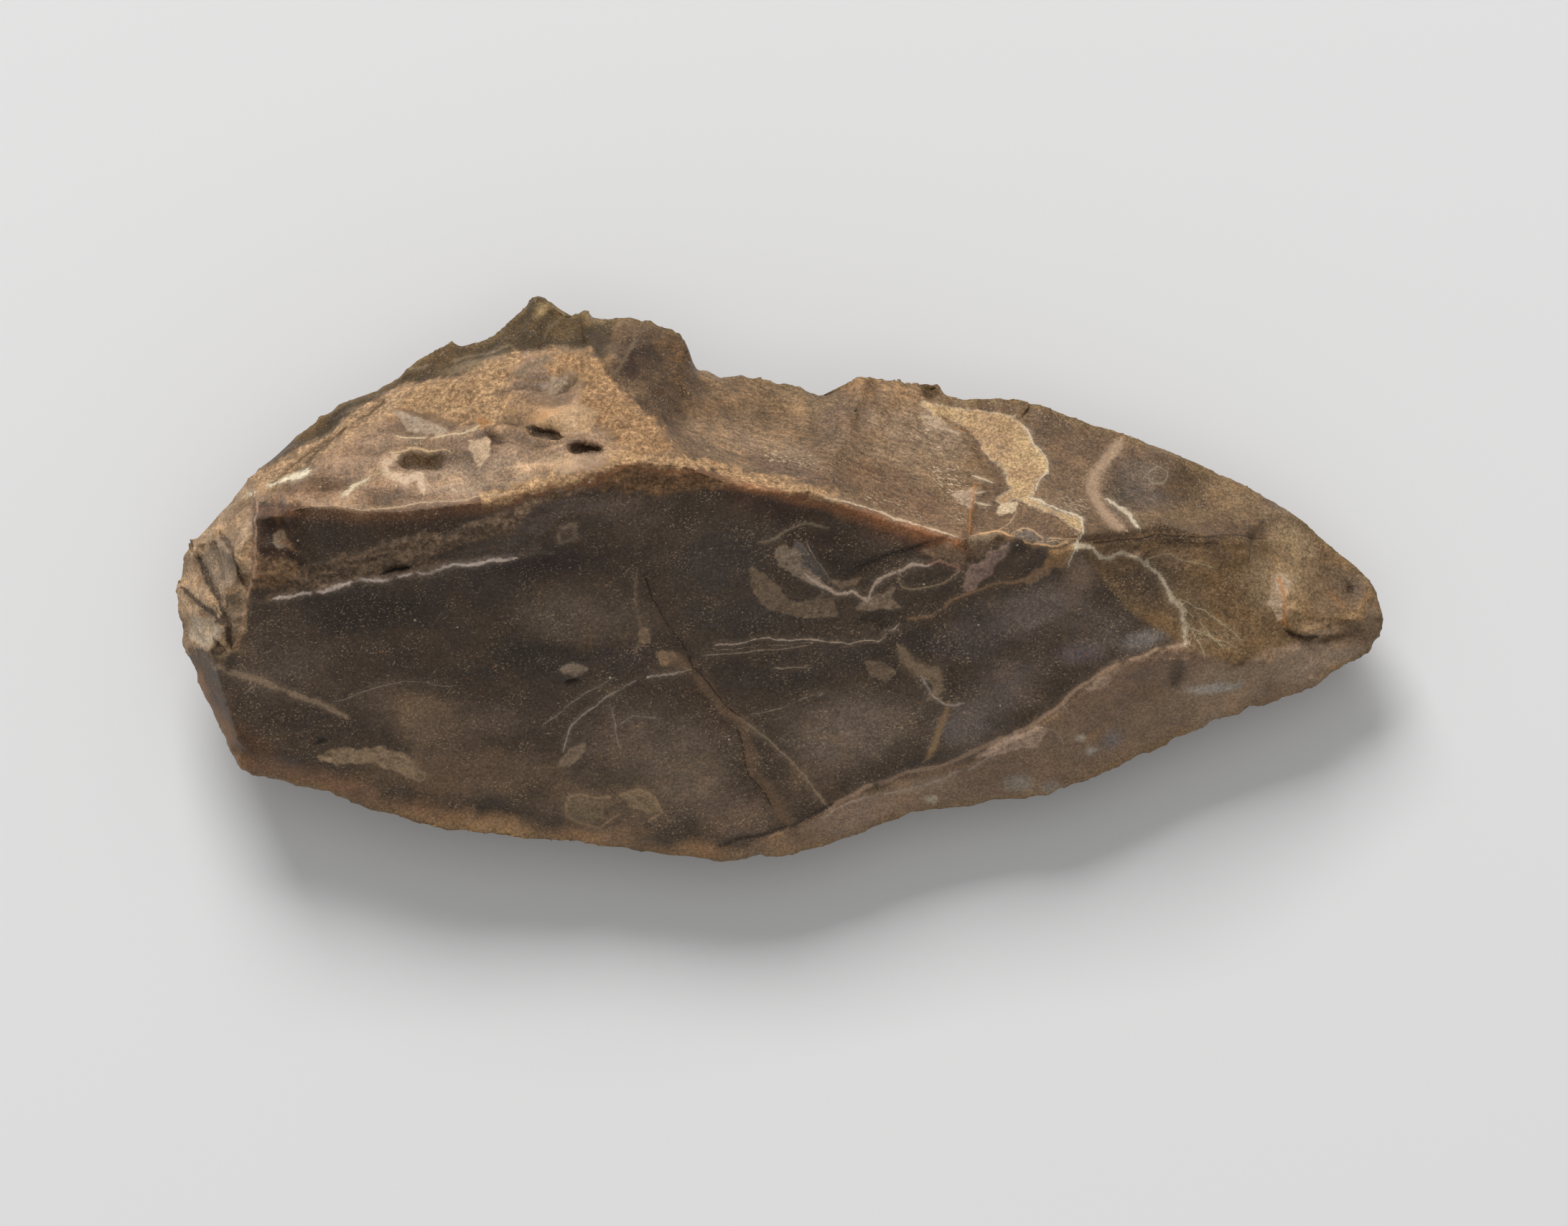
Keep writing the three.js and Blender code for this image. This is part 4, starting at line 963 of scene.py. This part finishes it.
# A ragged patch: a mask from how deep a spot lies in it, in mm, with an edge that wanders, and its rim.
patch_edge, given, result = new_group(
    "patch_edge",
    {"Vector": "Vector", "Depth": "Float", "Rag": "Float", "Blur": "Float"},
    {"Mask": "Float", "Rim": "Float"},
)
wobble = noise_texture(patch_edge, given["Vector"], 1.3, 6, 0.62)
wobble = calculate(patch_edge, "MULTIPLY", calculate(patch_edge, "SUBTRACT", wobble, 0.5), given["Rag"])
depth = calculate(patch_edge, "ADD", given["Depth"], wobble)
patch_mask = between(patch_edge, depth, calculate(patch_edge, "MULTIPLY", given["Blur"], -1), given["Blur"])
patch_edge.links.new(patch_mask, result["Mask"])
rim_band = between(patch_edge, calculate(patch_edge, "ABSOLUTE", depth), 0.28, 0.05)
patch_edge.links.new(rim_band, result["Rim"])

# A line: a mask that fades in and out along its way, and the haze beside it. Line holds how many
# half-widths a spot lies to the line's left, and how far past its edge, in mm.
line_group, given, result = new_group(
    "line",
    {"Vector": "Vector", "Line": "Vector", "Breaks": "Float", "Ragged": "Float"},
    {"Mask": "Float", "Haze": "Float"},
)
parts = add(line_group, "SeparateXYZ", {"Vector": given["Line"]}).outputs
fine = calculate(line_group, "SUBTRACT", noise_texture(line_group, given["Vector"], 0.6, 5, 0.65), 0.5)
broad = noise_texture(line_group, given["Vector"], 3, 2)
shifted = calculate(line_group, "ADD", parts["X"], calculate(line_group, "MULTIPLY", fine, given["Ragged"]))
offset = calculate(line_group, "ABSOLUTE", shifted)
width = calculate(line_group, "ADD", broad, 0.5)
outer = calculate(line_group, "MULTIPLY", width, 1.3)
inner = calculate(line_group, "MULTIPLY", width, 0.3)
body = between(line_group, offset, outer, inner)
close = between(line_group, parts["Y"], 0.6, 0.3)
least = calculate(line_group, "SUBTRACT", given["Breaks"], 0.08)
most = calculate(line_group, "ADD", given["Breaks"], 0.08)
whole = between(line_group, broad, least, most)
body = calculate(line_group, "MULTIPLY", calculate(line_group, "MULTIPLY", body, close), whole)
line_group.links.new(body, result["Mask"])
haze = between(line_group, calculate(line_group, "ADD", parts["Y"], fine), 0.7, -0.1)
line_group.links.new(calculate(line_group, "MULTIPLY", haze, whole), result["Haze"])

flint = bpy.data.materials.new("flint")
flint.use_nodes = True
tree = flint.node_tree
shader = tree.nodes["Principled BSDF"]
place = add(tree, "TexCoord").outputs["Object"]


def stretched(heading, times):
    """Places squeezed one way, so that what is drawn on them is stretched that way, so many times."""
    sockets = {"Vector": place, "Rotation": (0, 0, math.radians(heading)), "Scale": (times, 1, 1)}
    return add(tree, "Mapping", sockets, vector_type="TEXTURE").outputs["Vector"]


def attribute(name, output="Vector"):
    """What the mesh keeps under that name."""
    return add(tree, "Attribute", attribute_name=name).outputs[output]


def three(name):
    """The three measures that an attribute holds."""
    return add(tree, "SeparateXYZ", {"Vector": attribute(name)}).outputs


def use(group, vector=place, **sockets):
    """One of the groups above, with its own values."""
    return add(tree, "Group", {"Vector": vector, **sockets}, node_tree=group).outputs


def times(*values):
    """Sockets or numbers multiplied together. The first is a socket."""
    product = values[0]
    for value in values[1:]:
        product = calculate(tree, "MULTIPLY", product, value)
    return product


def swing(value, amount):
    """1, and up or down from it by a noise's swing."""
    return calculate(tree, "MULTIPLY_ADD", calculate(tree, "SUBTRACT", value, 0.5), amount, 1)


def brighten(colour, factor):
    """A colour made so many times as bright."""
    return add(tree, "VectorMath", {0: colour, "Scale": factor}, operation="SCALE").outputs["Vector"]


# A colour mix's own sockets, among those of its other kinds.
MIX_SHARE = 0
MIX_BASE = 6
MIX_OVER = 7
MIX_RESULT = 2


def cover(share, base, over, way="MIX"):
    """A colour laid over another, or multiplied with it, where the share says."""
    sockets = {MIX_SHARE: share, MIX_BASE: base, MIX_OVER: over}
    return add(tree, "Mix", sockets, data_type="RGBA", blend_type=way).outputs[MIX_RESULT]


def opaque(colour):
    """A hex colour as a socket takes it."""
    return (*linear(colour), 1)


depths = three("patches")
zones = three("zones")
textures = three("textures")
tan = use(patch_edge, Depth=depths["Y"], Rag=1.5, Blur=0.1)
beige = use(patch_edge, Depth=depths["Z"], Rag=1.5, Blur=0.15)
glass_mask = use(patch_edge, Depth=zones["X"], Rag=2, Blur=0.35)["Mask"]
sand_edge = use(patch_edge, Depth=depths["X"], Rag=3.4, Blur=0.5)["Mask"]
sand_mask = times(sand_edge, calculate(tree, "MULTIPLY_ADD", glass_mask, -0.85, 1))
hackly = zones["Y"]
streaky = zones["Z"]

# The body: the laid tint, cloudy, mottled and finely grained, in places darker and in places warmer.
WARMER = (1.22, 1.05, 0.78, 1)
flow = stretched(-18, 3)
broad_clouds = noise_texture(tree, place, 4.5, 4, 0.6, 0.5)
mottling = noise_texture(tree, place, 1.3, 5, 0.66, 0.3)
streaks = noise_texture(tree, flow, 0.5, 4, 0.65)
fine_grain = between(tree, noise_texture(tree, place, 0.36, 3, 0.75), 0.34, 0.66)
body = attribute("tint", "Color")
darkened = between(tree, noise_texture(tree, place, 2.4, 3, 0.6), 0.42, 0.66)
body = cover(darkened, body, brighten(body, 0.93))
warmed = times(between(tree, broad_clouds, 0.48, 0.68), 0.35)
body = cover(warmed, body, WARMER, "MULTIPLY")
mottled = calculate(tree, "MULTIPLY_ADD", textures["Z"], -0.4, 1)
grain_swing = calculate(tree, "MULTIPLY_ADD", textures["Z"], -0.15, 0.72)
light = times(swing(broad_clouds, times(mottled, 0.8)), swing(mottling, times(mottled, 1.1)),
              swing(fine_grain, grain_swing))
streak_light = swing(streaks, 2)
light = times(light, calculate(tree, "POWER", streak_light, streaky))
colour = brighten(body, light)

# Torn stone: steep ribs of light and dark.
torn = between(tree, noise_texture(tree, stretched(-58, 3), 0.9, 5, 0.7), 0.36, 0.64)
torn_light = calculate(tree, "MULTIPLY_ADD", torn, 0.34, 0.82)
colour = cover(times(hackly, 0.85), colour, brighten(body, times(torn_light, swing(fine_grain, 0.7))))

# Sand: its tint broken into light and dark grains, with a few rusty ones. The brightest pale grains are
# partly painted glints.
RUSTY_GRAIN = opaque("#a65d2c")
grains = between(tree, noise_texture(tree, place, 0.5, 5, 0.8), 0.36, 0.64)
sand_light = calculate(tree, "MULTIPLY_ADD", grains, 1.1, 0.5)
sand_light = times(sand_light, swing(mottling, 2), swing(broad_clouds, 0.8))
sand_tint = attribute("sand_tint", "Color")
sand = brighten(sand_tint, sand_light)
pale_grains_and_glints = use(flecks, Peak=0.66)["Mask"]
sand = cover(times(pale_grains_and_glints, 0.85), sand, brighten(sand_tint, 1.95))
dark_grains = use(flecks, vector=stretched(40, 1.3), Peak=0.67)["Mask"]
sand = cover(times(dark_grains, 0.7), sand, brighten(sand_tint, 0.34))
rusty_grains = use(specks, Size=1.2 * MM, Share=0.2, Radius=0.2)["Mask"]
sand = cover(times(rusty_grains, 0.55), sand, RUSTY_GRAIN)
colour = cover(times(sand_mask, 0.9), colour, sand)

# Clean, glassy flint between the sand.
colour = cover(times(glass_mask, 0.6), colour, brighten(body, swing(broad_clouds, 1.2)))

# Tan and beige patches, mottled and speckled like the rest, with a pale rim.
BEIGE = opaque("#a68561")
PALE_BEIGE = opaque("#b8996f")
BEIGE_RIM = opaque("#d9c7aa")
patch_light = times(swing(mottling, 1.3), swing(fine_grain, 0.6))
patch_tint = attribute("patch_tint", "Color")
thinning = between(tree, noise_texture(tree, place, 1.1, 4, 0.65), 0.34, 0.5)
tan_share = times(tan["Mask"], calculate(tree, "MULTIPLY_ADD", thinning, 0.45, 0.5))
colour = cover(tan_share, colour, brighten(patch_tint, patch_light))
colour = cover(times(tan["Rim"], 0.3), colour, brighten(patch_tint, 1.15))
beige_tint = cover(between(tree, broad_clouds, 0.4, 0.6), BEIGE, PALE_BEIGE)
beige_light = times(patch_light, swing(fine_grain, 0.3))
colour = cover(times(beige["Mask"], 0.94), colour, brighten(beige_tint, beige_light))
colour = cover(times(beige["Rim"], 0.2), colour, BEIGE_RIM)

# Bands, veins and cracks, each in its own colour, with the painted ridge highlight among the veins and the
# painted
# shadow lines among the cracks: how broken they are, how ragged, and how strong the haze.
LINES = (("bands", 0.34, 1.5, 0.22), ("veins", 0.38, 3.6, 0.16), ("cracks", 0.3, 2.4, 0.3))
masks = {}
for name, breaks, ragged, haze in LINES:
    line = use(line_group, Line=attribute(name), Breaks=breaks, Ragged=ragged)
    strength = attribute(name + "_tint", "Alpha")
    line_tint = brighten(attribute(name + "_tint", "Color"), swing(fine_grain, 0.4))
    colour = cover(times(line["Haze"], strength, haze), colour, line_tint)
    colour = cover(times(line["Mask"], strength), colour, line_tint)
    masks[name] = line["Mask"]

# Flecks: fine pale ones all over, long bright ones in the hackles, threads, and a few big and rusty specks.
PALE_FLECK = opaque("#c4a987")
HACKLE = opaque("#d9c2a2")
BIG_SPECK = opaque("#d8c6a8")
RUSTY_SPECK = opaque("#a3622f")
soft = calculate(tree, "MULTIPLY_ADD", sand_mask, -0.8, 1)
pale_flecks = use(flecks, vector=stretched(20, 1.2), Peak=0.61)["Mask"]
colour = cover(times(pale_flecks, soft, 0.6), colour, cover(0.55, brighten(body, 1.6), PALE_FLECK))
hackle_peak = calculate(tree, "MULTIPLY_ADD", textures["X"], -0.2, 0.78)
hackles = use(flecks, vector=stretched(-24, 2.8), Peak=hackle_peak)["Mask"]
colour = cover(times(hackles, 0.7, streaky), colour, HACKLE)
weave = noise_texture(tree, stretched(-38, 3), 0.9, 3, 0.6, 1)
threads = between(tree, calculate(tree, "ABSOLUTE", calculate(tree, "SUBTRACT", weave, 0.5)), 0.02, 0.004)
colour = cover(times(threads, textures["Y"], 0.5), colour, brighten(body, 1.9))
big_specks = use(specks, Size=2.4 * MM, Share=0.3, Radius=0.07)["Mask"]
rusty_specks = use(specks, Size=1.5 * MM, Share=0.2, Radius=0.09)["Mask"]
colour = cover(times(big_specks, 0.55), colour, BIG_SPECK)
colour = cover(times(rusty_specks, 0.5), colour, RUSTY_SPECK)
tree.links.new(colour, shader.inputs["Base Color"])

# Finish: the sand is dull, and glassy spots shine.
dull = calculate(tree, "MULTIPLY_ADD", sand_mask, 0.3, 0.46)
dull = calculate(tree, "ADD", dull, times(fine_grain, 0.06))
dull = calculate(tree, "SUBTRACT", dull, times(glass_mask, 0.22))
tree.links.new(dull, shader.inputs["Roughness"])
shader.inputs["Specular IOR Level"].default_value = 0.22

# Fine relief, which only bends the light: grain, mottling, sand, torn ribs, streaks, veins and cracks, with
# the painted highlight and shadow lines kept among them.
relief = times(fine_grain, 0.25)
relief = calculate(tree, "ADD", relief, times(mottling, mottled, 1.4))
relief = calculate(tree, "ADD", relief, times(sand_mask, grains, 1.6))
relief = calculate(tree, "ADD", relief, times(hackly, torn, 1.5))
relief = calculate(tree, "ADD", relief, times(streaky, streaks, 2))
relief = calculate(tree, "ADD", relief, times(hackles, streaky, 0.8))
relief = calculate(tree, "ADD", relief, times(masks["veins"], 0.5))
relief = calculate(tree, "SUBTRACT", relief, times(masks["cracks"], 1.5))
bump = add(tree, "Bump", {"Strength": 0.6, "Distance": 0.12 * MM, "Height": relief})
tree.links.new(bump.outputs["Normal"], shader.inputs["Normal"])

stone.data.materials.clear()
stone.data.materials.append(flint)
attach(stone, "root")
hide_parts("hand_axe")
